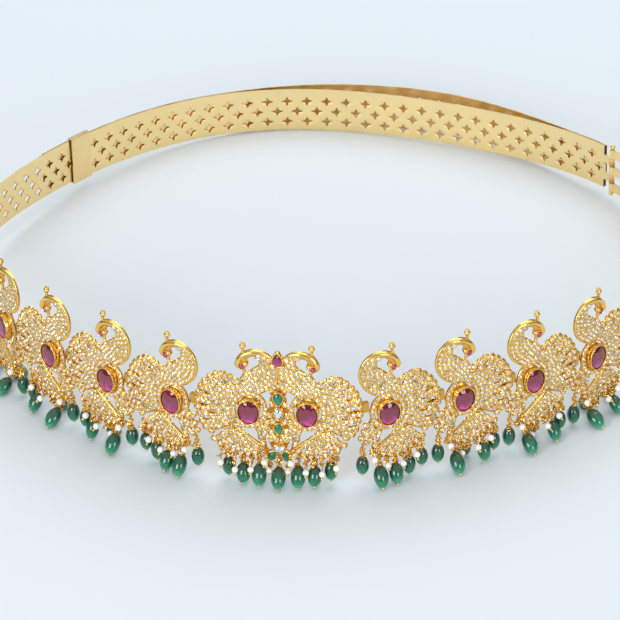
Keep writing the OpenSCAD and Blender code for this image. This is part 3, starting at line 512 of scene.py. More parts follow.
@dataclass
class Surface:
    """Points, faces and a shade for each point, gathered as arrays until they become one mesh."""

    points: list[np.ndarray] = field(default_factory=list)
    faces: list[np.ndarray] = field(default_factory=list)
    shades: list[np.ndarray] = field(default_factory=list)
    count: int = 0

    def add(self, points: np.ndarray, faces: list[np.ndarray], shade: np.ndarray | float = 0.0) -> None:
        """Take in a patch.

        Args:
            points: an n by 3 array.
            faces: arrays of corner numbers, one array for each number of corners.
            shade: one value, or one for each point.
        """
        self.points.append(np.asarray(points, float))
        self.faces.extend(f + self.count for f in faces)
        self.shades.append(np.broadcast_to(np.asarray(shade, float), (len(points),)).copy())
        self.count += len(points)

    def add_copies(
        self, shape: "Shape", places: np.ndarray, turns: np.ndarray | None = None,
        sizes: np.ndarray | float = 1.0, shade: np.ndarray | float | None = None,
    ) -> None:
        """Take in many copies of one small shape, each turned, scaled and moved.

        Args:
            shape: the shape that is copied.
            places: an n by 3 array.
            turns: n rotation matrices, or none.
            sizes: one scale, or one for each copy.
            shade: one value for each copy, or none for the shape's own.
        """
        n, m = len(places), len(shape.points)
        if not n:
            return
        scales = np.broadcast_to(np.asarray(sizes, float).reshape(-1, 1, 1), (n, 1, 1))
        body = np.broadcast_to(shape.points, (n, m, 3)) * scales
        if turns is not None:
            body = np.einsum("nij,nmj->nmi", turns, body)
        body = body + np.asarray(places, float)[:, None]
        steps = np.arange(n)[:, None, None] * m
        tone = shape.shades if shade is None else np.asarray(shade, float).reshape(-1, 1)
        tone = np.broadcast_to(tone, (n, m))
        faces = [(f[None] + steps).reshape(-1, f.shape[1]) for f in shape.faces]
        self.add(body.reshape(-1, 3), faces, tone.ravel())

    def seated(self, seat: Seat) -> "Surface":
        """The same surface placed in a panel's seat, its faces turned over where the seat mirrors."""
        points = seat.place(np.concatenate(self.points))
        faces = [f[:, ::-1] for f in self.faces] if seat.flipped else self.faces
        return Surface([points], list(faces), [np.concatenate(self.shades)], self.count)

    def join(self, other: "Surface") -> None:
        """Take in another surface."""
        self.add(np.concatenate(other.points), other.faces, np.concatenate(other.shades))

    def piece(self, name: str, finish: Finish, slot: str, sharp: float = 40.0) -> bpy.types.Object:
        """Make the mesh object, standing on the surface, riding on the belt.

        Args:
            name: the piece's name.
            finish: what it is made of.
            slot: a material slot's name; not used.
            sharp: the angle in degrees past which an edge stays sharp.

        Returns:
            The new object.
        """
        points = STAND.place(np.concatenate(self.points))
        sizes = np.concatenate([np.full(len(f), f.shape[1]) for f in self.faces])
        corners = np.concatenate([f.ravel() for f in self.faces])
        mesh = bpy.data.meshes.new(name)
        mesh.vertices.add(len(points))
        mesh.vertices.foreach_set("co", points.astype(np.float32).ravel())
        mesh.loops.add(len(corners))
        mesh.loops.foreach_set("vertex_index", corners.astype(np.int32))
        mesh.polygons.add(len(sizes))
        starts = np.concatenate([[0], np.cumsum(sizes)[:-1]]).astype(np.int32)
        mesh.polygons.foreach_set("loop_start", starts)
        mesh.update(calc_edges=True)
        mesh.validate()
        tone = mesh.attributes.new("shade", "FLOAT", "POINT")
        tone.data.foreach_set("value", np.concatenate(self.shades).astype(np.float32))
        mesh.shade_smooth()
        mesh.set_sharp_from_angle(angle=math.radians(sharp))
        mesh.materials.append(finish.material())
        made = bpy.data.objects.new(name, mesh)
        bpy.context.scene.collection.objects.link(made)
        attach(made, "root")
        LOG.info("%s: %d points, %d faces", name, len(points), len(sizes))
        return made


@dataclass(frozen=True)
class Shape:
    """A small shape that is copied: points, faces and a shade for each point."""

    points: np.ndarray
    faces: list[np.ndarray]
    shades: np.ndarray


def wrap_grid(rows: int, columns: int, closed_rows: bool = False) -> np.ndarray:
    """Quads between the points of a grid whose columns run round and close on themselves.

    Args:
        rows: how many rings the grid has.
        columns: how many points each ring has.
        closed_rows: whether the last ring joins the first.

    Returns:
        An m by 4 array of point numbers.
    """
    i, j = np.meshgrid(np.arange(rows if closed_rows else rows - 1), np.arange(columns), indexing="ij")
    up, right = (i + 1) % rows, (j + 1) % columns
    corners = [i * columns + j, i * columns + right, up * columns + right, up * columns + j]
    return np.stack(corners, -1).reshape(-1, 4)


def lathe(profile: np.ndarray, sides: int, oval: tuple[float, float] = (1.0, 1.0)) -> Shape:
    """Turn a profile about z: each ring is the profile's radius times a cosine and a sine.

    Args:
        profile: radius and height of each ring, from the bottom up, the outside first.
        sides: points in a ring.
        oval: shares that the radius is stretched by along x and y.

    Returns:
        The closed shape, with a flat cap or a point at either end, and a painted shade from 0 at its top to 1
        at its bottom.
    """
    t = np.linspace(0, 2 * math.pi, sides, endpoint=False)
    r, z = profile[:, 0, None], profile[:, 1, None]
    heights = np.broadcast_to(z, (len(profile), sides))
    points = np.stack([r * np.cos(t) * oval[0], r * np.sin(t) * oval[1], heights], -1)
    n = len(profile)
    ring = np.arange(sides)
    caps = np.stack([ring[::-1], ring + (n - 1) * sides])
    # Painted light and shade by height: 0 at the top to 1 at the bottom, which darkens the lower side of a
    # gold piece and lightens the lower part of a green bead
    shade = (z - z.min()) / max(float(np.ptp(z)), 1e-9)
    shades = np.broadcast_to(1 - shade, (n, sides)).ravel()
    return Shape(points.reshape(-1, 3), [wrap_grid(n, sides), caps], shades)


def ball(radius: float, sides: int = 12, rings: int = 8, stretch: float = 1.0) -> Shape:
    """A ball: half a circle turned about z, its poles closed by small caps."""
    t = np.linspace(-math.pi / 2, math.pi / 2, rings + 1)
    t[0], t[-1] = t[0] + 0.06, t[-1] - 0.06
    return lathe(np.stack([radius * np.cos(t), radius * stretch * np.sin(t)], 1), sides)


def dome(radius: float, sides: int) -> Shape:
    """The outer half of a small ball, on a short stem."""
    t = np.radians([0, 38, 72])
    profile = np.stack([radius * np.cos(t), radius * np.sin(t)], 1)
    return lathe(np.concatenate([[[radius * 0.9, -radius]], profile]), sides)


def tube(
    path: np.ndarray, radii: np.ndarray | float, sides: int, up: np.ndarray, closed: bool = False
) -> Shape:
    """Carry a circle along a path, its plane square to the path's direction.

    Args:
        path: n points.
        radii: one radius, or one for each point.
        sides: points in the circle.
        up: a direction that the path never runs along.
        closed: whether the path closes on itself.

    Returns:
        The closed tube.
    """
    ahead = np.roll(path, -1, 0) - np.roll(path, 1, 0)
    if not closed:
        ahead[0], ahead[-1] = path[1] - path[0], path[-1] - path[-2]
    ahead /= np.linalg.norm(ahead, axis=1, keepdims=True)
    across = np.cross(up, ahead)
    across /= np.linalg.norm(across, axis=1, keepdims=True)
    over = np.cross(ahead, across)
    t = np.linspace(0, 2 * math.pi, sides, endpoint=False)
    r = np.broadcast_to(np.asarray(radii, float), (len(path),))[:, None, None]
    ring = across[:, None] * np.cos(t)[None, :, None] + over[:, None] * np.sin(t)[None, :, None]
    points = (path[:, None] + ring * r).reshape(-1, 3)
    n = len(path)
    faces = [wrap_grid(n, sides, closed)]
    if not closed:
        around = np.arange(sides)
        faces.append(np.stack([around[::-1], around + (n - 1) * sides]))
    return Shape(points, faces, np.zeros(len(points)))


def hoop(radius: float, wire: float, around: int = 14, sides: int = 6) -> Shape:
    """A ring of wire about z."""
    t = np.linspace(0, 2 * math.pi, around, endpoint=False)
    path = np.stack([radius * np.cos(t), radius * np.sin(t), 0 * t], 1)
    return tube(path, wire, sides, np.array([0.0, 0.0, 1.0]), closed=True)


def facing(shape: Shape) -> Shape:
    """Turn a shape that was made about z so that its z looks out of a panel's front."""
    x, y, z = shape.points.T
    return Shape(np.stack([x, -z, y], 1), shape.faces, shape.shades)


def faceted(outline: np.ndarray, table: float, crown: float, back: float, girdle: float = 0.12) -> Shape:
    """A cut stone about z: a table, a belt of facets, a thin girdle and a pointed back.

    Args:
        outline: the girdle's corners, anticlockwise.
        table: the table's size as a share of the outline.
        crown: how far the table stands above the girdle.
        back: how far the point lies behind the girdle.
        girdle: the girdle's thickness.

    Returns:
        The closed stone, its shade running from 0 at its highest corner to 1 at its lowest.
    """
    n = len(outline)
    middle = (outline.max(0) + outline.min(0)) / 2
    half = ((outline + np.roll(outline, -1, 0)) / 2 - middle) * 0.86 + middle
    inner = (outline - middle) * table + middle
    level = lambda ring, z: np.column_stack([ring, np.full(n, z)])
    points = np.concatenate([
        [[middle[0], middle[1], -back]], level(outline, 0.0), level(outline, girdle),
        level(half, girdle + crown * 0.6), level(inner, girdle + crown),
    ])
    i = np.arange(n)
    j = (i + 1) % n
    low, rim, mid, top = 1 + i, 1 + n + i, 1 + 2 * n + i, 1 + 3 * n + i
    low_j, rim_j, mid_j, top_j = 1 + j, 1 + n + j, 1 + 2 * n + j, 1 + 3 * n + j
    quads = np.concatenate([np.stack([low, low_j, rim_j, rim], 1), np.stack([rim_j, mid_j, top_j, mid], 1)])
    tris = np.concatenate([
        np.stack([np.zeros(n, int), low_j, low], 1), np.stack([rim, rim_j, mid], 1),
        np.stack([top, mid, top_j], 1),
    ])
    up = points[:, 1]
    return Shape(points, [quads, tris, top[None]], 1 - (up - up.min()) / max(float(np.ptp(up)), 1e-9))


def oval(a: float, b: float, n: int, start: float = 0.0, end: float = 360.0) -> np.ndarray:
    """An ellipse's points, or those of a stretch of it: a cosine and b sine of the angle."""
    whole = end - start == 360
    t = np.radians(np.linspace(start, end, n + (0 if whole else 1), endpoint=not whole))
    return np.stack([a * np.cos(t), b * np.sin(t)], 1)


def drop_outline(w: float, h: float, n: int = 24) -> np.ndarray:
    """A drop with its point up: an ellipse that is drawn in towards its upper end."""
    t = np.linspace(0, 2 * math.pi, n, endpoint=False)
    s = np.sin(t)
    across = w / 2 * np.cos(t) * np.where(s > 0, 1 - 0.55 * s * s, 1)
    return np.stack([across, h * np.where(s > 0, 0.62, 0.38) * s], 1)


# Distances in the plane of a panel, negative inside


def to_disc(p: np.ndarray, middle: np.ndarray, radius: float) -> np.ndarray:
    """Distance to a disc's edge."""
    return np.hypot(p[:, 0] - middle[0], p[:, 1] - middle[1]) - radius


def to_bar(p: np.ndarray, a: np.ndarray, b: np.ndarray, wide: float) -> np.ndarray:
    """Distance to a straight bar with round ends: to the nearest point of its middle line."""
    d = b - a
    t = np.clip(((p - a) @ d) / max(float(d @ d), 1e-9), 0, 1)
    return np.linalg.norm(p - a - t[:, None] * d, axis=1) - wide


def to_outline(p: np.ndarray, corners: np.ndarray) -> np.ndarray:
    """Distance to a closed outline: to its nearest side, negative where the winding says inside."""
    best = np.full(len(p), 1e9)
    inside = np.zeros(len(p), bool)
    for a, b in zip(corners, np.roll(corners, -1, 0)):
        d = b - a
        t = np.clip(((p - a) @ d) / max(float(d @ d), 1e-9), 0, 1)
        best = np.minimum(best, np.linalg.norm(p - a - t[:, None] * d, axis=1))
        crosses = (a[1] > p[:, 1]) != (b[1] > p[:, 1])
        if abs(d[1]) > 1e-12:
            inside ^= crosses & (p[:, 0] < d[0] * (p[:, 1] - a[1]) / d[1] + a[0])
    return np.where(inside, -best, best)


def to_oval(p: np.ndarray, a: float, b: float) -> np.ndarray:
    """Distance to an ellipse about the origin, taken along the ray from its middle."""
    share = np.hypot(p[:, 0] / a, p[:, 1] / b)
    return np.hypot(p[:, 0], p[:, 1]) * (1 - 1 / np.maximum(share, 1e-3))


def bowed(p: np.ndarray, q: np.ndarray, bow: float, n: int = 12) -> np.ndarray:
    """A curve from p to q that bows sideways by a share of its length."""
    d = q - p
    m = (p + q) / 2 + bow * np.array([-d[1], d[0]]) * 2
    t = np.linspace(0, 1, n + 1)[:, None]
    return (1 - t) ** 2 * p + 2 * t * (1 - t) * m + t**2 * q


def walk(path: np.ndarray, pitch: float, first: float = 0.0) -> tuple[np.ndarray, np.ndarray]:
    """Points at an even pitch along a path, and the path's direction there in radians."""
    steps = np.linalg.norm(np.diff(path, axis=0), axis=1)
    run = np.concatenate([[0], np.cumsum(steps)])
    at = np.arange(first, run[-1], pitch)
    spots = np.stack([np.interp(at, run, path[:, i]) for i in (0, 1)], 1)
    ahead = np.stack([np.interp(at + 0.05, run, path[:, i]) for i in (0, 1)], 1)
    behind = np.stack([np.interp(at - 0.05, run, path[:, i]) for i in (0, 1)], 1)
    d = ahead - behind
    return spots, np.arctan2(d[:, 1], d[:, 0])


def grown(outline: np.ndarray, by: float) -> np.ndarray:
    """An anticlockwise outline with each corner moved outwards along its normal."""
    d = np.roll(outline, -1, 0) - np.roll(outline, 1, 0)
    normal = np.stack([d[:, 1], -d[:, 0]], 1)
    return outline + by * normal / np.maximum(np.linalg.norm(normal, axis=1, keepdims=True), 1e-9)


# The panels


@dataclass(frozen=True)
class Depths:
    """Depths in front of the hinge pins' plane."""

    back: float = 1.38
    hollow: float = 2.0
    front: float = 2.58
    rim: float = 3.18
    bezel: float = 5.38
    seat: float = 3.56
    knuckle: float = 1.23


@dataclass(frozen=True)
class Design:
    """The panel's flat design, shared with the part's source: the feathers, the ring, the bird."""

    reach: float = 19.4
    rise: float = 14.4
    skirt: float = 18.8
    ring: tuple[float, float] = (7.28, 8.28)
    ring_wide: float = 1.9
    bezel: tuple[float, float] = (4.58, 5.58)
    crescents: tuple[tuple[float, float], ...] = ((38, 142), (160, 214), (-34, 20))
    tail: tuple[tuple[float, float, float, float], ...] = (
        (70, 0.27, 0.86, -0.02), (62, 0.39, 0.97, 0.00), (54, 0.51, 1.05, 0.02), (46, 0.645, 1.04, 0.04),
        (38, 0.765, 0.94, 0.05), (29, 0.875, 0.80, 0.05), (20, 0.955, 0.63, 0.04), (11, 1.01, 0.44, 0.03),
        (2, 1.04, 0.24, 0.00), (-7, 1.04, 0.03, -0.03), (-16, 1.00, -0.19, -0.06), (-25, 0.955, -0.43, -0.08),
        (-34, 0.885, -0.60, -0.08), (-42, 0.77, -0.71, -0.05),
    )
    fan_from: tuple[float, float] = (0.31, -0.36)
    fan: tuple[tuple[float, float, float], ...] = (
        (0.72, -0.74, -0.04), (0.60, -0.84, 0.00), (0.475, -0.93, 0.02), (0.34, -1.00, 0.04),
        (0.19, -1.05, 0.06), (0.04, -1.07, 0.08), (-0.10, -1.035, 0.05), (-0.205, -0.94, 0.00),
    )
    lobes: tuple[tuple[float, float, float, float], ...] = (
        (-166, -0.435, -0.28, 0.10), (-156, -0.495, -0.43, 0.10), (-146, -0.55, -0.58, 0.10),
        (-134, -0.435, -0.695, 0.06), (-121, -0.265, -0.80, 0.03), (-108, -0.225, -0.665, 0.00),
    )
    bar: tuple[tuple[float, float], tuple[float, float]] = ((0.27, -0.44), (-0.20, -0.82))
    bar_wide: float = 0.75
    bird_up: float = 18.0
    bird_r: float = 11.0
    neck_r: float = 7.0
    crest_r: float = 1.1
    eye: float = 2.1
    breast: tuple[tuple[float, float], ...] = (
        (0.427, -0.364), (0.282, -0.127), (0.40, 0.0), (0.491, 0.027), (0.555, 0.10),
    )
    neck_slot: tuple[tuple[float, float], ...] = (
        (-0.236, 0.20), (0.136, -0.118), (0.218, -0.091), (0.218, 0.127), (0.109, 0.418),
    )

    @property
    def bird_middle(self) -> np.ndarray:
        """The middle of the bird's round back."""
        return np.array([-1.5, self.bird_up])

    @property
    def head(self) -> np.ndarray:
        """The middle of the eye."""
        return self.on_bird(((0.355, 0.136),))[0]

    @property
    def crest(self) -> np.ndarray:
        """The ball of the crest."""
        return self.on_bird(((0.31, 0.918),))[0]

    def on_bird(self, shares: tuple[tuple[float, float], ...]) -> np.ndarray:
        """Places given as shares of the bird's size from its middle."""
        return self.bird_middle + self.bird_r * np.array(shares)

    def back_points(self, t: np.ndarray, inset: np.ndarray | float = 0.0) -> np.ndarray:
        """The bird's back: a spiral about its middle, its radius growing from the head to the tail end."""
        radius = self.neck_r + (self.bird_r - self.neck_r) * ((t - 22) / 218) ** 0.75 - inset
        r = np.radians(t)
        return self.bird_middle + np.stack([radius * np.cos(r), radius * np.sin(r)], -1)

    def ring_point(self, bearing: float) -> np.ndarray:
        """A point of the middle of the ring's band."""
        half, r = self.ring_wide / 2, math.radians(bearing)
        return np.array([(self.ring[0] - half) * math.cos(r), (self.ring[1] - half) * math.sin(r)])

    def tail_paths(self) -> list[np.ndarray]:
        """The middle lines of the tail's feathers, from the ring to their tips."""
        size = np.array([self.reach, self.rise])
        return [bowed(self.ring_point(b), np.array([x, z]) * size, w) for b, x, z, w in self.tail]

    def fan_paths(self) -> list[np.ndarray]:
        """The middle lines of the lower feathers."""
        root = np.array([self.fan_from[0] * self.reach, self.fan_from[1] * self.skirt])
        return [bowed(root, np.array([x * self.reach, z * self.skirt]), w) for x, z, w in self.fan]

    def lobe_paths(self) -> list[np.ndarray]:
        """The middle lines of the feathers inside the bar."""
        size = np.array([self.reach, self.skirt])
        return [bowed(self.ring_point(b), np.array([x, z]) * size, w) for b, x, z, w in self.lobes]

    def webs(self) -> list[np.ndarray]:
        """Outlines of the grounds between the feathers, one for the tail, the fan and the lobes."""
        made = []
        for paths, far in ((self.tail_paths(), 11), (self.fan_paths(), 11), (self.lobe_paths(), 10)):
            near = [path[2] for path in paths]
            made.append(np.array([path[far] for path in paths] + near[::-1]))
        return made

    def lozenges(self) -> list[tuple[np.ndarray, np.ndarray, float, float]]:
        """The slanted gaps between neighbouring feathers: middle, direction, half length and width.

        They stand in two staggered rows, as wide as the stones on both sides leave room for.
        """
        made = []
        for paths, shares, long in (
            (self.tail_paths(), (0.82, 0.63), 1.5), (self.fan_paths(), (0.86, 0.70), 1.2),
            (self.lobe_paths(), (0.8, 0.62), 1.0),
        ):
            for i, (one, other) in enumerate(zip(paths[:-1], paths[1:])):
                at = 12 * shares[i % 2]
                k = int(at)
                pick = lambda path: path[k] + (at - k) * (path[min(k + 1, 12)] - path[k])
                a, b = pick(one), pick(other)
                ahead = (one[k + 1] - one[k]) + (other[k + 1] - other[k])
                wide = min(0.66, float(np.linalg.norm(a - b)) / 2 - 0.62)
                if wide > 0.3:
                    made.append(((a + b) / 2, ahead / np.linalg.norm(ahead), long, wide))
        return made

    def to_lozenges(self, p: np.ndarray) -> np.ndarray:
        """Distance to the nearest of those gaps."""
        best = np.full(len(p), 1e9)
        for middle, ahead, long, wide in self.lozenges():
            side = np.array([-ahead[1], ahead[0]])
            shape = ((1, 0), (0.45, 1), (-0.35, 1), (-1, 0), (-0.45, -1), (0.35, -1))
            corners = np.array([middle + u * long * ahead + v * wide * side for u, v in shape])
            near = np.abs(p - middle).max(1) < 3
            best[near] = np.minimum(best[near], to_outline(p[near], corners))
        return best

    def bird_outline(self) -> np.ndarray:
        """The bird's body with its foot on the ring."""
        foot = [[-2.97, 6.62], [3.41, 7.87], [4.07, 10.85]]
        return np.concatenate([self.back_points(np.arange(22, 251, 6.0)), foot, self.on_bird(self.breast)])

    def bar_ends(self) -> tuple[np.ndarray, np.ndarray]:
        """Where the smooth bar starts and ends."""
        share = np.array([self.reach, self.skirt])
        return np.array(self.bar[0]) * share, np.array(self.bar[1]) * share

    def hole(self, p: np.ndarray) -> np.ndarray:
        """Distance to the opening under the bird's neck."""
        throat = self.on_bird(((-0.036, 0.29),))[0]
        slot = to_outline(p, self.on_bird(self.neck_slot))
        return np.minimum(to_disc(p, throat, 0.218 * self.bird_r), slot)

    def ring_gaps(self, p: np.ndarray) -> np.ndarray:
        """Distance to the crescents between the bezel and its ring."""
        inner = (self.ring[0] - self.ring_wide, self.ring[1] - self.ring_wide)
        best = np.full(len(p), 1e9)
        for arc in self.crescents:
            near = oval(*self.bezel, 12, *arc)
            far = oval(*inner, 12, *arc)
            best = np.minimum(best, to_outline(p, np.concatenate([far, near[::-1]])))
        return best


@dataclass(frozen=True)
class Drops:
    """What hangs under a panel: places across, eyelets and middles as shares, as in the part."""

    reach: float = 19.4
    skirt: float = 18.8
    beads: tuple[tuple[float, ...], ...] = (
        (-0.525, 0.835, 1.24, 0.88, 0.88, 1), (-0.196, 1.10, 1.52, 1.00, 1.00, 1),
        (0.133, 1.145, 1.50, 0.97, 0.92, -1), (0.447, 0.985, 1.39, 0.90, 0.90, 1),
        (0.713, 0.85, 1.25, 0.84, 0.84, -1),
    )
    pearls: tuple[tuple[float, ...], ...] = (
        (-0.321, 0.945, 1.19), (-0.031, 1.155, 1.36), (0.292, 1.065, 1.32), (0.58, 0.925, 1.16),
    )
    centre_lower: float = 0.12
    middle_bead: tuple[float, ...] = (0, 1.165, 1.58, 1.00, 1.00, 1)
    middle_pearls: tuple[tuple[float, ...], ...] = ((0.19, 1.30, 1.52), (-0.19, 1.30, 1.52))
    bead: tuple[float, float] = (5.2, 8.2)
    pearl: float = 2.4
    ball: float = 1.1
    gap: float = 0.12
    pearl_lean: float = 40.0
    eye_hole: float = 0.62
    eye_bar: float = 0.46

    def eyelet(self, row: tuple[float, ...]) -> np.ndarray:
        """An eyelet's middle."""
        return np.array([row[0] * self.reach, -row[1] * self.skirt])

    def hang(self, row: tuple[float, ...]) -> np.ndarray:
        """Where a drop's own frame has its origin: the lowest bar of its eyelet."""
        return self.eyelet(row) - [0, self.eye_hole + self.eye_bar / 2]

    def drop(self, row: tuple[float, ...]) -> float:
        """How far the middle of a bead or pearl hangs below that."""
        return self.hang(row)[1] + row[2] * self.skirt

    def squeeze(self, k: int, row: tuple[float, ...], end: float) -> float:
        """How far a drop leans where it is longer than its height over the surface."""
        spot = self.hang(row)
        seat = CHAIN.seat(k, Side.RIGHT)
        y = 0.0 if k == 0 else float(seat.place(np.array([[spot[0], 0, 0]]))[0, 1])
        t = math.radians(STAND.tilt)
        floor = -(STAND.lift - y * math.sin(t)) / math.cos(t)
        room = spot[1] - floor - 0.05
        return 0.0 if end <= room else math.degrees(math.acos(max(0.2, room / end)))

    def bead_lean(self, k: int, row: tuple[float, ...]) -> float:
        """A bead's lean, outwards or under the panel."""
        end = self.drop(row) + row[4] * self.bead[1] / 2 + self.gap + self.ball
        return self.squeeze(k, row, end) * (1 if k < 2 else row[5])

    def pearl_turn(self, k: int, row: tuple[float, ...], beads: tuple) -> float:
        """A pearl leans out in front of the nearest bead, or as far as the surface pushes it."""
        near = min(beads, key=lambda b: abs(b[0] - row[0]))
        end = self.drop(row) + self.pearl / 2 + self.gap + self.ball
        return max(self.squeeze(k, row, end), max(0.0, self.bead_lean(k, near)) + self.pearl_lean)


@dataclass(frozen=True)
class Setting:
    """A small collar of the centre column with its cut stone."""

    at: tuple[float, float]
    outline: tuple[tuple[float, float], ...]
    finish: Finish
    slot: str
    node: str


def column_settings() -> list[Setting]:
    """The centre column from its crown down: where each stone stands, its outline and its colour."""
    rows = [
        (22.2, 3.6, 5.6, 1, CROWN_GLASS, "ruby", "crown_ruby"),
        (6.1, 3.5, 5.4, -1, EMERALD_GLASS, "emerald", "emerald_drop_upper"),
        (-0.6, 3.3, 5.0, -1, CLEAR_STONE, "clear", "clear_drop"),
        (-7.3, 3.1, 4.6, -1, EMERALD_GLASS, "emerald", "emerald_drop_lower"),
    ]
    made = []
    for up, w, h, way, finish, slot, node in rows:
        outline = drop_outline(w, h) * [1, way]
        made.append(Setting((0, up), tuple(map(tuple, outline[::way])), finish, slot, node))
    clear = tuple(map(tuple, oval(2.2, 1.55, 24)))
    made.append(Setting((0, -16.8), clear, CLEAR_STONE, "clear", "clear_oval"))
    a = math.radians(38)
    turn = np.array([[math.cos(a), -math.sin(a)], [math.sin(a), math.cos(a)]])
    leaf = drop_outline(2.9, 4.6) @ turn.T
    mirror = (leaf * [-1, 1])[::-1]
    for x, outline, name in ((3.1, leaf, "emerald_leaf_right"), (-3.1, mirror, "emerald_leaf_left")):
        made.append(Setting((x, -20.2), tuple(map(tuple, outline)), EMERALD_GLASS, "emerald", name))
    return made


DEPTHS = Depths()
DESIGN = Design()
DROPS = Drops()


@dataclass
class Pave:
    """Round stones set in a panel, each taken where there is room for it."""

    spots: list[np.ndarray] = field(default_factory=list)
    radii: list[float] = field(default_factory=list)
    ways: list[float] = field(default_factory=list)

    def take(self, spot: np.ndarray, radius: float, way: float, gap: float = 0.12) -> bool:
        """Set a stone unless it comes nearer to another one than the gap, or into an opening."""
        if DESIGN.to_lozenges(np.asarray(spot, float)[None])[0] < radius - 0.1:
            return False
        if self.spots:
            away = np.linalg.norm(np.array(self.spots) - spot, axis=1) - np.array(self.radii)
            if away.min() < radius + gap:
                return False
        self.spots.append(np.asarray(spot, float))
        self.radii.append(radius)
        self.ways.append(way)
        return True

    def along(
        self, path: np.ndarray, radius: float, pitch: float, first: float = 0.0, gap: float = 0.12
    ) -> None:
        """Set a row of stones along a path."""
        for spot, way in zip(*walk(path, pitch, first)):
            self.take(spot, radius, way, gap)

    def fill(self, spots: np.ndarray, radius: float, gap: float = 0.1) -> None:
        """Set stones at the given places in turn, wherever there is still room."""
        spots = spots[DESIGN.to_lozenges(spots) >= radius - 0.1]
        away = np.linalg.norm(spots[:, None] - np.array(self.spots), axis=2) - np.array(self.radii)
        room = away.min(1) - radius - gap
        while (room >= 0).any():
            spot = spots[np.argmax(room >= 0)]
            self.take(spot, radius, 0.0, gap)
            room = np.minimum(room, np.linalg.norm(spots - spot, axis=1) - 2 * radius - gap)

    def kept(self, rule: Callable[[np.ndarray], np.ndarray]) -> "Pave":
        """Only the stones whose middles pass a rule."""
        ok = rule(np.array(self.spots))
        pick = lambda values: [v for v, k in zip(values, ok) if k]
        return Pave(pick(self.spots), pick(self.radii), pick(self.ways))


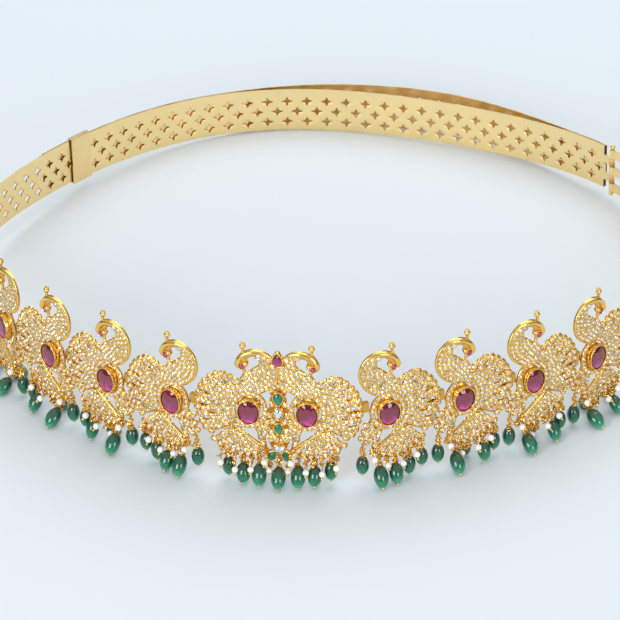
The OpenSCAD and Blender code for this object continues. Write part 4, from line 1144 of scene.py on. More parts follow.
@dataclass
class Casting:
    """A cast panel in its flat frame: its stones, and how far each point is from its edge."""

    beads: tuple
    pearls: tuple
    centre: bool = False
    stones: Pave = field(default_factory=Pave)
    tip: float = 0.85

    def __post_init__(self) -> None:
        """Set the stones: the ring, the rows outside it, the feathers and the bird's body."""
        self.set_ring()
        self.set_feathers()
        self.set_bird()
        self.set_grounds()
        if self.centre:
            self.set_column()

    def set_ring(self) -> None:
        """One row of stones round the ruby, and one more outside it on the tail's side."""
        mid = (DESIGN.ring[0] - 1.02, DESIGN.ring[1] - 1.02)
        ring = oval(*mid, 240)
        ring = np.concatenate([ring, ring[:1]])
        length = float(np.linalg.norm(np.diff(ring, axis=0), axis=1).sum())
        count = 21
        self.stones.along(ring, 0.76, length / count, 0.3, 0.1)
        outer = oval(mid[0] + 2.05, mid[1] + 2.05, 120, -52, 62)
        self.stones.along(outer, 0.76, 2.02, 0.2, 0.1)

    def set_feathers(self) -> None:
        """Rows of stones from each tip inwards, as far as there is room between the rows."""
        for path in DESIGN.tail_paths():
            self.stones.along(path[::-1], 0.77, 2.02, 0.4)
        for path in DESIGN.fan_paths() + DESIGN.lobe_paths():
            self.stones.along(path[::-1], 0.72, 1.94, 0.15)

    def set_bird(self) -> None:
        """Rows that follow the bird's back, from its rim inwards, and a big stone under the neck."""
        outline = DESIGN.bird_outline()
        self.stones.take(DESIGN.back_points(np.array([112.0]), 2.75)[0], 1.02, 0.0)
        self.stones.take(DESIGN.back_points(np.array([130.0]), 2.1)[0], 0.82, 0.0)
        for row, inset in enumerate((1.72, 3.66, 5.55, 7.45, 9.3)):
            path = DESIGN.back_points(np.arange(250, 120, -1.0), inset)
            for spot, way in zip(*walk(path, 1.93, 0.5 + 0.95 * (row % 2))):
                at = spot[None]
                clear = -to_outline(at, outline)[0] > 0.85 and DESIGN.hole(at)[0] > 0.85
                if clear and to_oval(at, *DESIGN.ring)[0] > 0.7:
                    self.stones.take(spot, 0.74, way, 0.1)
        across, up = np.meshgrid(np.arange(-12, 5, 0.3), np.arange(7, 27, 0.3))
        fill = np.stack([across.ravel(), up.ravel()], 1)
        from_middle = fill - DESIGN.bird_middle
        neck = (from_middle[:, 1] > 0.35 * from_middle[:, 0] - 1.6) & (from_middle[:, 0] > -1.2)
        clear = (-to_outline(fill, outline) > 0.9) & (DESIGN.hole(fill) > 0.85) & ~neck
        clear &= (to_oval(fill, *DESIGN.ring) > 0.62) & (to_disc(fill, DESIGN.head, 2.6) > 0)
        for radius in (0.74, 0.64):
            for spot in fill[clear]:
                self.stones.take(spot, radius, 0.0, 0.1)

    def set_grounds(self) -> None:
        """Smaller stones wherever the grounds between the feathers have room for them."""
        across, up = np.meshgrid(np.arange(-13, 22, 0.3), np.arange(-24, 21, 0.3))
        spots = np.stack([across.ravel(), up.ravel()], 1)
        inside = np.min([to_outline(spots, web) for web in DESIGN.webs()], axis=0) < -0.3
        paths = DESIGN.tail_paths() + DESIGN.fan_paths() + DESIGN.lobe_paths()
        inside |= np.min([to_disc(spots, path[-1], self.tip) for path in paths], axis=0) < 0
        clear = (to_oval(spots, *DESIGN.ring) > 0.5) & (to_outline(spots, DESIGN.bird_outline()) > 0.5)
        clear &= to_bar(spots, *DESIGN.bar_ends(), DESIGN.bar_wide / 2) > 0.5
        for radius in (0.7, 0.56, 0.44):
            self.stones.fill(spots[inside & clear], radius)

    def set_column(self) -> None:
        """Leave room for the middle settings, and fill the ground beside them."""
        settings = [(np.array(s.outline) + s.at) - [CHAIN.ruby_half, 0] for s in column_settings()]
        room = lambda p: np.min([to_outline(p, s) for s in settings], axis=0)
        self.stones = self.stones.kept(lambda p: (p[:, 0] > 0.62 - CHAIN.ruby_half) & (room(p) > 1.25))
        body = self.column_outline() - [CHAIN.ruby_half, 0]
        for x in np.arange(0.9, 6.5, 1.72):
            for row, z in enumerate(np.arange(-20, 21, 1.62)):
                at = np.array([[x + 0.86 * (row % 2) - CHAIN.ruby_half, z]])
                if room(at)[0] > 1.3 and -to_outline(at, body)[0] > 0.75 and self.gaps(at)[0] > 0.8:
                    self.stones.take(at[0], 0.66, 0.0, 0.12)

    @staticmethod
    def column_outline() -> np.ndarray:
        """The body of the centre column."""
        return np.array([
            [-3, 21], [-3.4, 9], [-3.4, 2], [-4.6, -2], [-4.6, -12], [-1.8, -20.4],
            [1.8, -20.4], [4.6, -12], [4.6, -2], [3.4, 2], [3.4, 9], [3, 21],
        ])

    @staticmethod
    def gaps(p: np.ndarray) -> np.ndarray:
        """Distance to the small diamonds pierced beside the column, mirrored about it."""
        across = np.stack([np.abs(p[:, 0] + CHAIN.ruby_half), p[:, 1]], 1)
        best = np.full(len(p), 1e9)
        rows = ((2.7, -4.6, 0.8, 1.3), (3.2, -10.3, 0.9, 1.1), (0, 10.9, 0.9, 1.3), (3.5, 6.6, 0.9, 1.3))
        for x, z, a, b in rows:
            corners = np.array([[x + a, z], [x, z + b], [x - a, z], [x, z - b]])
            best = np.minimum(best, to_outline(across, corners))
        return best

    def distance(self, p: np.ndarray) -> np.ndarray:
        """Distance to the casting's edge: the union of all its parts, less its openings."""
        best = np.full(len(p), 1e9)
        for spot, radius in zip(self.stones.spots, self.stones.radii):
            near = (np.abs(p[:, 0] - spot[0]) < 3) & (np.abs(p[:, 1] - spot[1]) < 3)
            best[near] = np.minimum(best[near], to_disc(p[near], spot, radius + 0.26))
        paths = [(path, 0.5, 1.5) for path in DESIGN.tail_paths()]
        paths += [(path, 0.48, 1.32) for path in DESIGN.fan_paths() + DESIGN.lobe_paths()]
        for path, wide, tip in paths:
            for a, b in zip(path[::3][:-1], path[::3][1:]):
                best = np.minimum(best, to_bar(p, a, b, wide))
            best = np.minimum(best, to_disc(p, path[-1], tip))
        for web in DESIGN.webs():
            best = np.minimum(best, to_outline(p, web))
        gaps = np.maximum(-DESIGN.to_lozenges(p), -1.0)
        solid = np.full(len(p), 1e9)
        for spot, radius in zip(self.stones.spots, self.stones.radii):
            near = np.abs(p - spot).max(1) < 2
            solid[near] = np.minimum(solid[near], to_disc(p[near], spot, radius + 0.12))
        best = np.minimum(np.maximum(best, gaps), solid)
        ring = to_oval(p, *DESIGN.ring)
        best = np.minimum(best, np.maximum(ring, -DESIGN.ring_gaps(p)))
        bird = np.maximum(to_outline(p, DESIGN.bird_outline()), -DESIGN.hole(p))
        best = np.minimum(best, bird)
        head = DESIGN.head
        best = np.minimum(best, to_disc(p, head, DESIGN.eye / 2 + 0.5))
        best = np.minimum(best, to_disc(p, head + [-1.5, 1.15], 1.15))
        best = np.minimum(best, to_bar(p, head + [-1.0, -0.6], np.array([1.2, DESIGN.bird_up - 2.4]), 0.42))
        best = np.minimum(best, to_bar(p, DESIGN.crest - [0, 0.3 * DESIGN.bird_r], DESIGN.crest, 0.55))
        best = np.minimum(best, to_bar(p, *DESIGN.bar_ends(), DESIGN.bar_wide / 2))
        rows = list(self.beads) + list(self.pearls)
        if self.centre:
            body = self.column_outline() - [CHAIN.ruby_half, 0]
            best = np.minimum(best, to_outline(p, body))
            for setting in column_settings():
                edge = np.array(setting.outline) + setting.at - [CHAIN.ruby_half, 0]
                best = np.minimum(best, to_outline(p, edge) - 0.55)
        spots = [DROPS.eyelet(row) for row in rows]
        if self.centre:
            middle = (DROPS.middle_bead,) + DROPS.middle_pearls
            spots += [DROPS.eyelet(row) - [CHAIN.ruby_half, 0] for row in middle]
        for spot in spots:
            stem = to_bar(p, spot + [0, 0.8], spot + [0, 2.2], 0.42)
            best = np.minimum(best, np.minimum(to_disc(p, spot, DROPS.eye_hole + DROPS.eye_bar), stem))
        for spot in spots:
            best = np.maximum(best, -to_disc(p, spot, DROPS.eye_hole))
        if self.centre:
            best = np.maximum(best, -self.gaps(p))
        return np.maximum(best, -to_oval(p, 3.4, 4.4))

    def relief(self, p: np.ndarray, edge: np.ndarray) -> tuple[np.ndarray, np.ndarray]:
        """How far the front stands out at each point, and how much painted shade it is given.

        Edges are rounded by a quarter circle, and the ground sinks away from the stones and is painted in
        shade.

        Args:
            p: points of the flat frame.
            edge: their distances to the casting's edge.

        Returns:
            The depths and the shades.
        """
        away = np.full(len(p), 1e9)
        for spot, radius in zip(self.stones.spots, self.stones.radii):
            near = (np.abs(p[:, 0] - spot[0]) < 3.2) & (np.abs(p[:, 1] - spot[1]) < 3.2)
            away[near] = np.minimum(away[near], to_disc(p[near], spot, radius))
        rounded = np.sqrt(np.clip(1 - (1 - np.clip(-edge / 0.5, 0, 1)) ** 2, 0, 1))
        sink = smooth((away - 0.22) / 0.55)
        plain = (to_disc(p, DESIGN.bird_middle + [1, 3], 8.5) < 0) & (DESIGN.hole(p) < 2.2)
        sink = np.where(plain, 0.3 * sink, sink)
        lip = np.exp(-((away / 0.2) ** 2))
        depth = DEPTHS.front + 0.5 * rounded - 0.42 * sink + 0.1 * lip - 0.35 * smooth(-away / 0.3)
        # Painted shade: the sunk ground away from the stones, inside the edge, is coloured a darker orange
        # gold
        return depth, np.clip(0.75 * sink * smooth(-edge / 0.3 + 0.3), 0, 1)


@dataclass(frozen=True)
class Relief:
    """A casting cut out of a grid: cells inside its edge, their rim drawn onto that edge."""

    cell: float = 0.33
    box: tuple[float, float, float, float] = (-13.2, 22.2, -26.4, 30.0)

    def build(self, casting: Casting) -> Surface:
        """Make the casting's front, back and walls.

        Grid points are moved onto the edge along the slope of the distance, by at most half a
        cell; the front takes its depth from the relief and the back is flat.

        Args:
            casting: what is cut out.

        Returns:
            The closed surface in the panel's frame.
        """
        left = -CHAIN.ruby_half if casting.centre else self.box[0]
        xs = np.arange(left, self.box[1], self.cell)
        zs = np.arange(self.box[2], self.box[3], self.cell)
        grid = np.stack(np.meshgrid(xs, zs, indexing="ij"), -1)
        nx, nz = len(xs), len(zs)
        flat = grid.reshape(-1, 2)
        far = casting.distance(flat).reshape(nx, nz)
        middle = (far[1:, 1:] + far[:-1, 1:] + far[1:, :-1] + far[:-1, :-1]) / 4
        kept = middle < 0
        slope = np.stack(np.gradient(far, self.cell), -1)
        slope /= np.maximum(np.linalg.norm(slope, axis=-1, keepdims=True), 1e-6)
        around = np.zeros((nx, nz), int)
        for i in (0, 1):
            for j in (0, 1):
                around[i : nx - 1 + i, j : nz - 1 + j] += kept
        border = (around > 0) & (around < 4)
        shift = np.where(border, np.clip(-far, -0.62 * self.cell, 0.62 * self.cell), 0)
        moved = grid + slope * shift[..., None]
        if casting.centre:
            moved[0, :, 0] = left
        number = np.full((nx, nz), -1)
        used = around > 0
        number[used] = np.arange(used.sum())
        count = int(used.sum())
        p = moved[used]
        depth, shade = casting.relief(p, casting.distance(p))
        wall = border[used]
        depth = np.where(wall, DEPTHS.front + 0.05, depth)
        front = np.stack([p[:, 0], -depth, p[:, 1]], 1)
        back = np.stack([p[:, 0], np.full(count, -DEPTHS.hollow), p[:, 1]], 1)
        i, j = np.nonzero(kept)
        a, b, c, d = number[i, j], number[i + 1, j], number[i + 1, j + 1], number[i, j + 1]
        faces = [np.stack([a, b, c, d], 1), np.stack([a, d, c, b], 1) + count]
        faces.append(self.walls(kept, number, count, casting.centre))
        made = Surface()
        # The back is painted in shade throughout, at 0.35
        made.add(np.concatenate([front, back]), faces, np.concatenate([shade, np.full(count, 0.35)]))
        return made

    @staticmethod
    def walls(kept: np.ndarray, number: np.ndarray, count: int, seam: bool) -> np.ndarray:
        """Quads between front and back along every side where a kept cell meets an empty one."""
        pad = np.pad(kept, 1)
        inside = pad[1:-1, 1:-1]
        sides = [
            (pad[:-2, 1:-1], (0, 1), (0, 0)), (pad[2:, 1:-1], (1, 0), (1, 1)),
            (pad[1:-1, :-2], (0, 0), (1, 0)), (pad[1:-1, 2:], (1, 1), (0, 1)),
        ]
        quads = []
        for which, (beside, one, two) in enumerate(sides):
            open_side = inside & ~beside
            if seam and which == 0:
                open_side[0] = False
            i, j = np.nonzero(open_side)
            a = number[i + one[0], j + one[1]]
            b = number[i + two[0], j + two[1]]
            quads.append(np.stack([b, a, a + count, b + count], 1))
        return np.concatenate(quads)


# Pieces of a panel


def pave_surfaces(stones: Pave, seed: int) -> tuple[Surface, Surface]:
    """The small stones of a panel, and the gold beads that hold them.

    Each stone is tipped by a few degrees as hand setting leaves it, so that they sparkle unevenly, and each
    gets a random painted reflection.
    A bead stands at each of four corners of a stone, and corners that meet share one.

    Args:
        stones: where they are.
        seed: the seed of the tipping.

    Returns:
        The stones and the beads, in the panel's frame.
    """
    chance = np.random.default_rng(seed)
    spots, radii = np.array(stones.spots), np.array(stones.radii)
    ways = np.array(stones.ways)
    n = len(spots)
    gem = facing(faceted(oval(1, 1, 8), 0.56, 0.36, 0.5, 0.1))
    tip_x, tip_z = np.radians(chance.normal(0, 4.5, n)), np.radians(chance.normal(0, 4.5, n))
    spin = chance.uniform(0, 2 * math.pi, n)
    turns = spin_y(spin) @ tilt_xz(tip_x, tip_z)
    depth = np.full(n, -(DEPTHS.front + 0.22)) - 0.05 * radii
    gems = Surface()
    # Painted reflection: each stone gets a random brightness, standing in for the light that its facets catch
    tone = chance.beta(1.3, 1.1, n)
    gems.add_copies(gem, np.stack([spots[:, 0], depth, spots[:, 1]], 1), turns, radii * 0.97, tone)
    corners = ways[:, None] + math.pi / 4 + np.arange(4) * math.pi / 2
    reach = (radii + 0.17)[:, None]
    beads = spots[:, None] + np.stack([reach * np.cos(corners), reach * np.sin(corners)], -1)
    beads = thinned(beads.reshape(-1, 2), spots, radii, 0.62)
    grains = Surface()
    bead = facing(dome(0.29, 5))
    sizes = chance.uniform(0.85, 1.12, len(beads))
    level = -(DEPTHS.front + 0.50) + chance.normal(0, 0.03, len(beads))
    grains.add_copies(bead, np.stack([beads[:, 0], level, beads[:, 1]], 1), None, sizes, 0.0)
    return gems, grains


def thinned(beads: np.ndarray, spots: np.ndarray, radii: np.ndarray, apart: float) -> np.ndarray:
    """Beads that are merged where they are closer than a distance, and dropped on top of stones."""
    taken: list[np.ndarray] = []
    for bead in beads:
        if (np.linalg.norm(spots - bead, axis=1) - radii).min() < 0.08:
            continue
        if taken and np.linalg.norm(np.array(taken) - bead, axis=1).min() < apart:
            continue
        taken.append(bead)
    return np.array(taken)


def spin_y(angle: np.ndarray) -> np.ndarray:
    """Rotations about y, one for each angle in radians."""
    c, s, o = np.cos(angle), np.sin(angle), np.zeros_like(angle)
    return np.stack([c, o, s, o, o + 1, o, -s, o, c], -1).reshape(-1, 3, 3)


def tilt_xz(about_x: np.ndarray, about_z: np.ndarray) -> np.ndarray:
    """Small rotations about x and then z, one for each pair of angles in radians."""
    c, s, o = np.cos(about_x), np.sin(about_x), np.zeros_like(about_x)
    first = np.stack([o + 1, o, o, o, c, -s, o, s, c], -1).reshape(-1, 3, 3)
    c, s = np.cos(about_z), np.sin(about_z)
    second = np.stack([c, -s, o, s, c, o, o, o, o + 1], -1).reshape(-1, 3, 3)
    return second @ first


def standing(path: np.ndarray, depth: np.ndarray | float) -> np.ndarray:
    """A flat path stood up in a panel's frame at a depth."""
    return np.stack([path[:, 0], -np.broadcast_to(np.asarray(depth, float), (len(path),)), path[:, 1]], 1)


def collar(outline: np.ndarray, wall: float, back: float, top: float, seat: float) -> Shape:
    """A collar round a stone: its outer wall, a rounded rim, and its inner wall down to a floor, painted
    darker towards the floor.
    """
    rings = [
        (grown(outline, wall), back), (grown(outline, wall), top - 0.22),
        (grown(outline, wall * 0.86), top - 0.06), (grown(outline, wall * 0.55), top),
        (grown(outline, 0.12), top - 0.05), (grown(outline, 0.0), top - 0.2),
        (outline, seat),
    ]
    n = len(outline)
    points = np.concatenate([np.column_stack([ring, np.full(n, level)]) for ring, level in rings])
    around = np.arange(n)
    caps = np.stack([around[::-1], around + (len(rings) - 1) * n])
    # Painted shade: darker from the rim's inner edge down the inner wall to the floor
    shade = np.repeat([0.0, 0.0, 0.0, 0.0, 0.1, 0.5, 0.8], n)
    return facing(Shape(points, [wrap_grid(len(rings), n), caps], shade))


def bird_metal() -> Surface:
    """The smooth parts of one bird panel: neck and rim, head, beak, crest, bar and the ruby's collar."""
    made = Surface()
    t = np.arange(240, 21, -4.0)
    radii = 0.42 + 0.72 * smooth((152 - t) / 62)
    path = DESIGN.back_points(t, radii * 0.96)
    head = DESIGN.head
    hook = np.array([head + [1.52, -0.1], head + [1.12, -0.75]])
    path = np.concatenate([path, hook])
    radii = np.concatenate([radii, [0.74, 0.42]])
    depth = DEPTHS.front + 0.1 + 0.35 * smooth((152 - np.concatenate([t, [20, 16]])) / 62)
    rim = tube(standing(path, depth), radii, 12, FORWARD)
    made.add(rim.points, rim.faces)
    skull = facing(ball(1.2, 20, 12))
    place = lambda at, level: np.array([[at[0], -level, at[1]]])
    made.add_copies(skull, place(head + [-1.45, 1.05], DEPTHS.front + 0.35))
    edge = oval(DESIGN.eye / 2, DESIGN.eye / 2, 20)
    eye = collar(edge, 0.36, DEPTHS.back, DEPTHS.rim + 0.35, DEPTHS.rim - 0.3)
    made.add_copies(eye, place(head, 0))
    path = np.array([head + [-0.7, -0.9], head + [-1.0, -1.9], [1.15, DESIGN.bird_up - 2.3]])
    beak = tube(standing(path, DEPTHS.front + 0.1), np.array([0.42, 0.3, 0.36]), 8, FORWARD)
    made.add(beak.points, beak.faces)
    crest = DESIGN.crest
    stem = tube(
        standing(crest - np.array([[0, 0.3 * DESIGN.bird_r], [0, 1.4], [0, 0.3]]), DEPTHS.front - 0.3),
        np.array([0.75, 0.5, 0.6]), 8, FORWARD,
    )
    made.add(stem.points, stem.faces)
    knob = facing(ball(0.82, 12, 8))
    across, up, sizes = np.array([
        [0, 0.35, 1.15], [0.62, -0.15, 0.9], [-0.62, -0.15, 0.9], [0, -0.25, 1.3], [0.25, 0.95, 0.7],
        [-0.4, 0.8, 0.7],
    ]).T
    at = np.stack([crest[0] + across, 0.55 - DEPTHS.front - 0.25 * (up < 0), crest[1] + up], 1)
    made.add_copies(knob, at, None, sizes)
    start, end = DESIGN.bar_ends()
    bar = tube(standing(np.linspace(start, end, 8), DEPTHS.front + 0.35), 0.4, 10, FORWARD)
    made.add(bar.points, bar.faces)
    ring = oval(DESIGN.ring[0] - 0.12, DESIGN.ring[1] - 0.12, 72)
    edge = tube(standing(ring, DEPTHS.front + 0.28), 0.2, 6, FORWARD, closed=True)
    made.add(edge.points, edge.faces, 0.15)
    ring = oval(DESIGN.ring[0] - 1.85, DESIGN.ring[1] - 1.85, 72)
    edge = tube(standing(ring, DEPTHS.front + 0.28), 0.17, 6, FORWARD, closed=True)
    made.add(edge.points, edge.faces, 0.15)
    bezel = collar(oval(4.08, 5.08, 48), 0.5, DEPTHS.back, DEPTHS.bezel, DEPTHS.seat - 0.2)
    made.add_copies(bezel, np.zeros((1, 3)))
    return made


def knuckles(x: float, which: tuple[int, ...], sign: int) -> Surface:
    """Hinge knuckles on the upright through x, each with its strap to the plate, the straps painted in shade.
    """
    made = Surface()
    for i in which:
        low = -6.0 + i * 4.15 + 2.2
        body = lathe(np.array([[1.05, low], [1.23, low + 0.15], [1.23, low + 3.85], [1.05, low + 4.0]]), 20)
        made.add_copies(body, np.array([[x, 0.0, 0.0]]))
        near, far = sorted((x, x + sign * 4.4))
        # Painted shade: each strap is coloured a darker gold, at 0.55, so that it sits back as if in shadow
        made.add(*box(near, far, -DEPTHS.hollow - 0.2, -0.1, low, low + 4.0), 0.55)
    return made


def box(
    x0: float, x1: float, y0: float, y1: float, z0: float, z1: float
) -> tuple[np.ndarray, list[np.ndarray]]:
    """A plain box's corners and sides."""
    points = np.array([[x, y, z] for z in (z0, z1) for x, y in ((x0, y0), (x1, y0), (x1, y1), (x0, y1))])
    sides = [[3, 2, 1, 0], [4, 5, 6, 7], [0, 1, 5, 4], [1, 2, 6, 5], [2, 3, 7, 6], [3, 0, 4, 7]]
    return points, [np.array(sides)]


def ruby_stone() -> Shape:
    """A main ruby with a wide table and two rows of facets."""
    stone = faceted(oval(4.0, 5.0, 16), 0.6, 0.85, 0.6, 0.15)
    return facing(stone)


@dataclass
class PanelSet:
    """All the panels with their stones, as pieces that stand for the part's nodes."""

    relief: Relief = Relief()
    rubies: Surface = field(default_factory=Surface)
    eyes: Surface = field(default_factory=Surface)

    def build(self) -> None:
        """Build one single panel and one half of the centre panel, and place their copies."""
        single = Casting(DROPS.beads, DROPS.pearls)
        middle = Casting(DROPS.beads[1:4], DROPS.pearls, centre=True)
        counts = (len(single.stones.spots), len(middle.stones.spots))
        LOG.info("stones in a panel: %d, in half of the centre one: %d", *counts)
        plate, half = self.relief.build(single), self.relief.build(middle)
        metal = bird_metal()
        hinges = knuckles(18.6, (0, 2), -1)
        hinges.join(knuckles(-11.8, (1,), 1))
        for side in Side:
            for k in range(1, PANELS + 1):
                seat = CHAIN.seat(k, side)
                name = f"{side.name.lower()}_{k}"
                gems, grains = pave_surfaces(single.stones, SEED + 10 * k + side.value)
                smooth_parts = [(seat, metal), (seat, hinges), (seat, grains)]
                self.panel(name, [(seat, plate)], smooth_parts, [(seat, gems)])
                self.stones(seat)
        seats = [CHAIN.seat(0, side) for side in Side]
        pave = [pave_surfaces(middle.stones, SEED + side.value) for side in Side]
        smooth_parts = [(seat, metal) for seat in seats] + [(s, p[1]) for s, p in zip(seats, pave)]
        smooth_parts += [(seat, knuckles(18.6, (0, 2), -1)) for seat in seats]
        smooth_parts.append((CENTRE, column_metal()))
        gems = [(seat, part[0]) for seat, part in zip(seats, pave)]
        self.panel("centre", [(seat, half) for seat in seats], smooth_parts, gems)
        for seat in seats:
            self.stones(seat)
        rubies = self.rubies.piece("rubies_cut", RUBY_GLASS, "ruby", 12)
        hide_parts(*[f"ruby_{n}" for n in self.names()])
        eyes = self.eyes.piece("eyes_cut", EYE_GLASS, "ruby", 12)
        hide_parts("eye_stones")
        column_stones()

    @staticmethod
    def names() -> list[str]:
        """The endings that the rubies' nodes have."""
        sides = [side.name.lower() for side in Side]
        outer = [f"{side}_{k}" for side in sides for k in range(1, PANELS + 1)]
        return [f"centre_{side}" for side in sides] + outer

    @staticmethod
    def panel(name: str, plates: list, metals: list, gems: list) -> None:
        """Make the three pieces of one panel: plate, smooth metal and small stones."""
        for ending, parts, finish, slot, sharp in (
            ("plate", plates, CAST_GOLD, "casting", 50),
            ("metal", metals, POLISHED_GOLD, "casting", 50),
            ("stones", gems, PAVE_STONE, "clear", 8),
        ):
            whole = Surface()
            for seat, part in parts:
                whole.join(part.seated(seat))
            made = whole.piece(f"{name}_{ending}", finish, slot, sharp)
            if ending == "plate":
                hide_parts(f"panel_{name}")

    def stones(self, seat: Seat) -> None:
        """Set the ruby and the eye stone of one bird panel."""
        ruby = Surface()
        ruby.add_copies(ruby_stone(), np.array([[0.0, -(DEPTHS.seat + 1.0), 0.0]]))
        self.rubies.join(ruby.seated(seat))
        eye = Surface()
        head = DESIGN.head
        gem = facing(faceted(oval(0.95, 0.95, 8), 0.55, 0.4, 0.4))
        eye.add_copies(gem, np.array([[head[0], -(DEPTHS.rim + 0.05), head[1]]]))
        self.eyes.join(eye.seated(seat))


def column_metal() -> Surface:
    """The collars of the centre column."""
    made = Surface()
    for setting in column_settings():
        ring = collar(np.array(setting.outline), 0.55, DEPTHS.back, DEPTHS.front + 1.1, DEPTHS.front + 0.3)
        made.add_copies(ring, np.array([[setting.at[0], 0.0, setting.at[1]]]))
    return made


def column_stones() -> None:
    """The cut stones of the centre column, each a piece of its own."""
    for setting in column_settings():
        made = Surface()
        gem = facing(faceted(np.array(setting.outline) * 0.98, 0.56, 0.55, 0.5))
        made.add_copies(gem, np.array([[setting.at[0], -(DEPTHS.front + 0.9), setting.at[1]]]))
        piece = made.seated(CENTRE).piece(f"{setting.node}_cut", setting.finish, setting.slot, 10)
        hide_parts(setting.node)


# Drops


@dataclass
class DropSet:
    """The beads and pearls with the rings that crowd above them."""

    beads: Surface = field(default_factory=Surface)
    pearls: Surface = field(default_factory=Surface)
    rings: Surface = field(default_factory=Surface)
    plump: float = 1.13
    pearl_plump: float = 1.1
    chance: np.random.Generator = field(default_factory=lambda: np.random.default_rng(SEED))

    def hang(self, into: Surface, shape: Shape, row: tuple, turn: float, seat: Seat) -> None:
        """Turn a shape that hangs down from its origin, and set it at its eyelet."""
        a = -math.radians(turn)
        rot = np.array([[1, 0, 0], [0, math.cos(a), -math.sin(a)], [0, math.sin(a), math.cos(a)]])
        at = DROPS.hang(row)
        points = shape.points @ rot.T + [at[0], -(DEPTHS.back + DEPTHS.front) / 2, at[1]]
        part = Surface()
        part.add(points, shape.faces, shape.shades)
        into.join(part.seated(seat))

    def bead(self, k: int, row: tuple, seat: Seat) -> None:
        """Hang one green bead and the rings above it."""
        w, h = row[3] * DROPS.bead[0], row[4] * DROPS.bead[1]
        turn, drop = DROPS.bead_lean(k, row), DROPS.drop(row)
        body = ball(w / 2 * self.plump, 24, 16, h / w)
        down = Shape(body.points - [0, 0, drop], body.faces, body.shades)
        self.hang(self.beads, down, row, turn, seat)
        self.cluster(row, turn, seat, drop - h / 2, 10)

    def cluster(self, row: tuple, turn: float, seat: Seat, top: float, n: int) -> None:
        """A bunch of n jump rings between a bead's top and its eyelet."""
        link = hoop(0.8, 0.22, 10, 4)
        spread = self.chance.normal(0, 0.5, (n, 3))
        spread[:, 2] = -self.chance.uniform(-0.3, max(0.9, top + 0.2), n)
        spread[:, 1] -= 0.6
        turns = tilt_xz(self.chance.uniform(0, math.pi, n), self.chance.uniform(0, math.pi, n))
        bunch = Surface()
        bunch.add_copies(link, spread, turns, self.chance.uniform(0.85, 1.2, n), 0.1)
        shape = Shape(np.concatenate(bunch.points), bunch.faces, np.concatenate(bunch.shades))
        self.hang(self.rings, shape, row, turn, seat)

    def pearl(self, k: int, row: tuple, beads: tuple, seat: Seat) -> None:
        """Hang one pearl."""
        body = ball(DROPS.pearl / 2 * self.pearl_plump, 18, 12)
        down = Shape(body.points - [0, 0, DROPS.drop(row)], body.faces, body.shades)
        turn = DROPS.pearl_turn(k, row, beads)
        self.hang(self.pearls, down, row, turn, seat)
        self.cluster(row, turn, seat, DROPS.drop(row) - DROPS.pearl, 5)

    def build(self) -> None:
        """Hang everything under the centre panel and the side panels."""
        self.bead(0, DROPS.middle_bead, CENTRE)
        for row in DROPS.middle_pearls:
            self.pearl(0, row, (DROPS.middle_bead,), CENTRE)
        for side in Side:
            for k in range(PANELS + 1):
                seat = CHAIN.seat(k, side)
                beads = DROPS.beads[1:4] if k == 0 else DROPS.beads
                lower = DROPS.centre_lower if k == 0 else 0.0
                for row in beads:
                    self.bead(k, row, seat)
                for across, up, down in DROPS.pearls:
                    self.pearl(k, (across, up, down + lower), beads, seat)
        made = self.beads.piece("beads_polished", GREEN_BEAD, "green_bead", 60)
        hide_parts("green_beads_centre", "green_beads_right", "green_beads_left")
        made = self.pearls.piece("pearls_polished", PEARL, "pearl", 60)
        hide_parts("pearls_centre", "pearls_right", "pearls_left")
        self.rings.piece("jump_rings", POLISHED_GOLD, "pins", 60)


# Strips


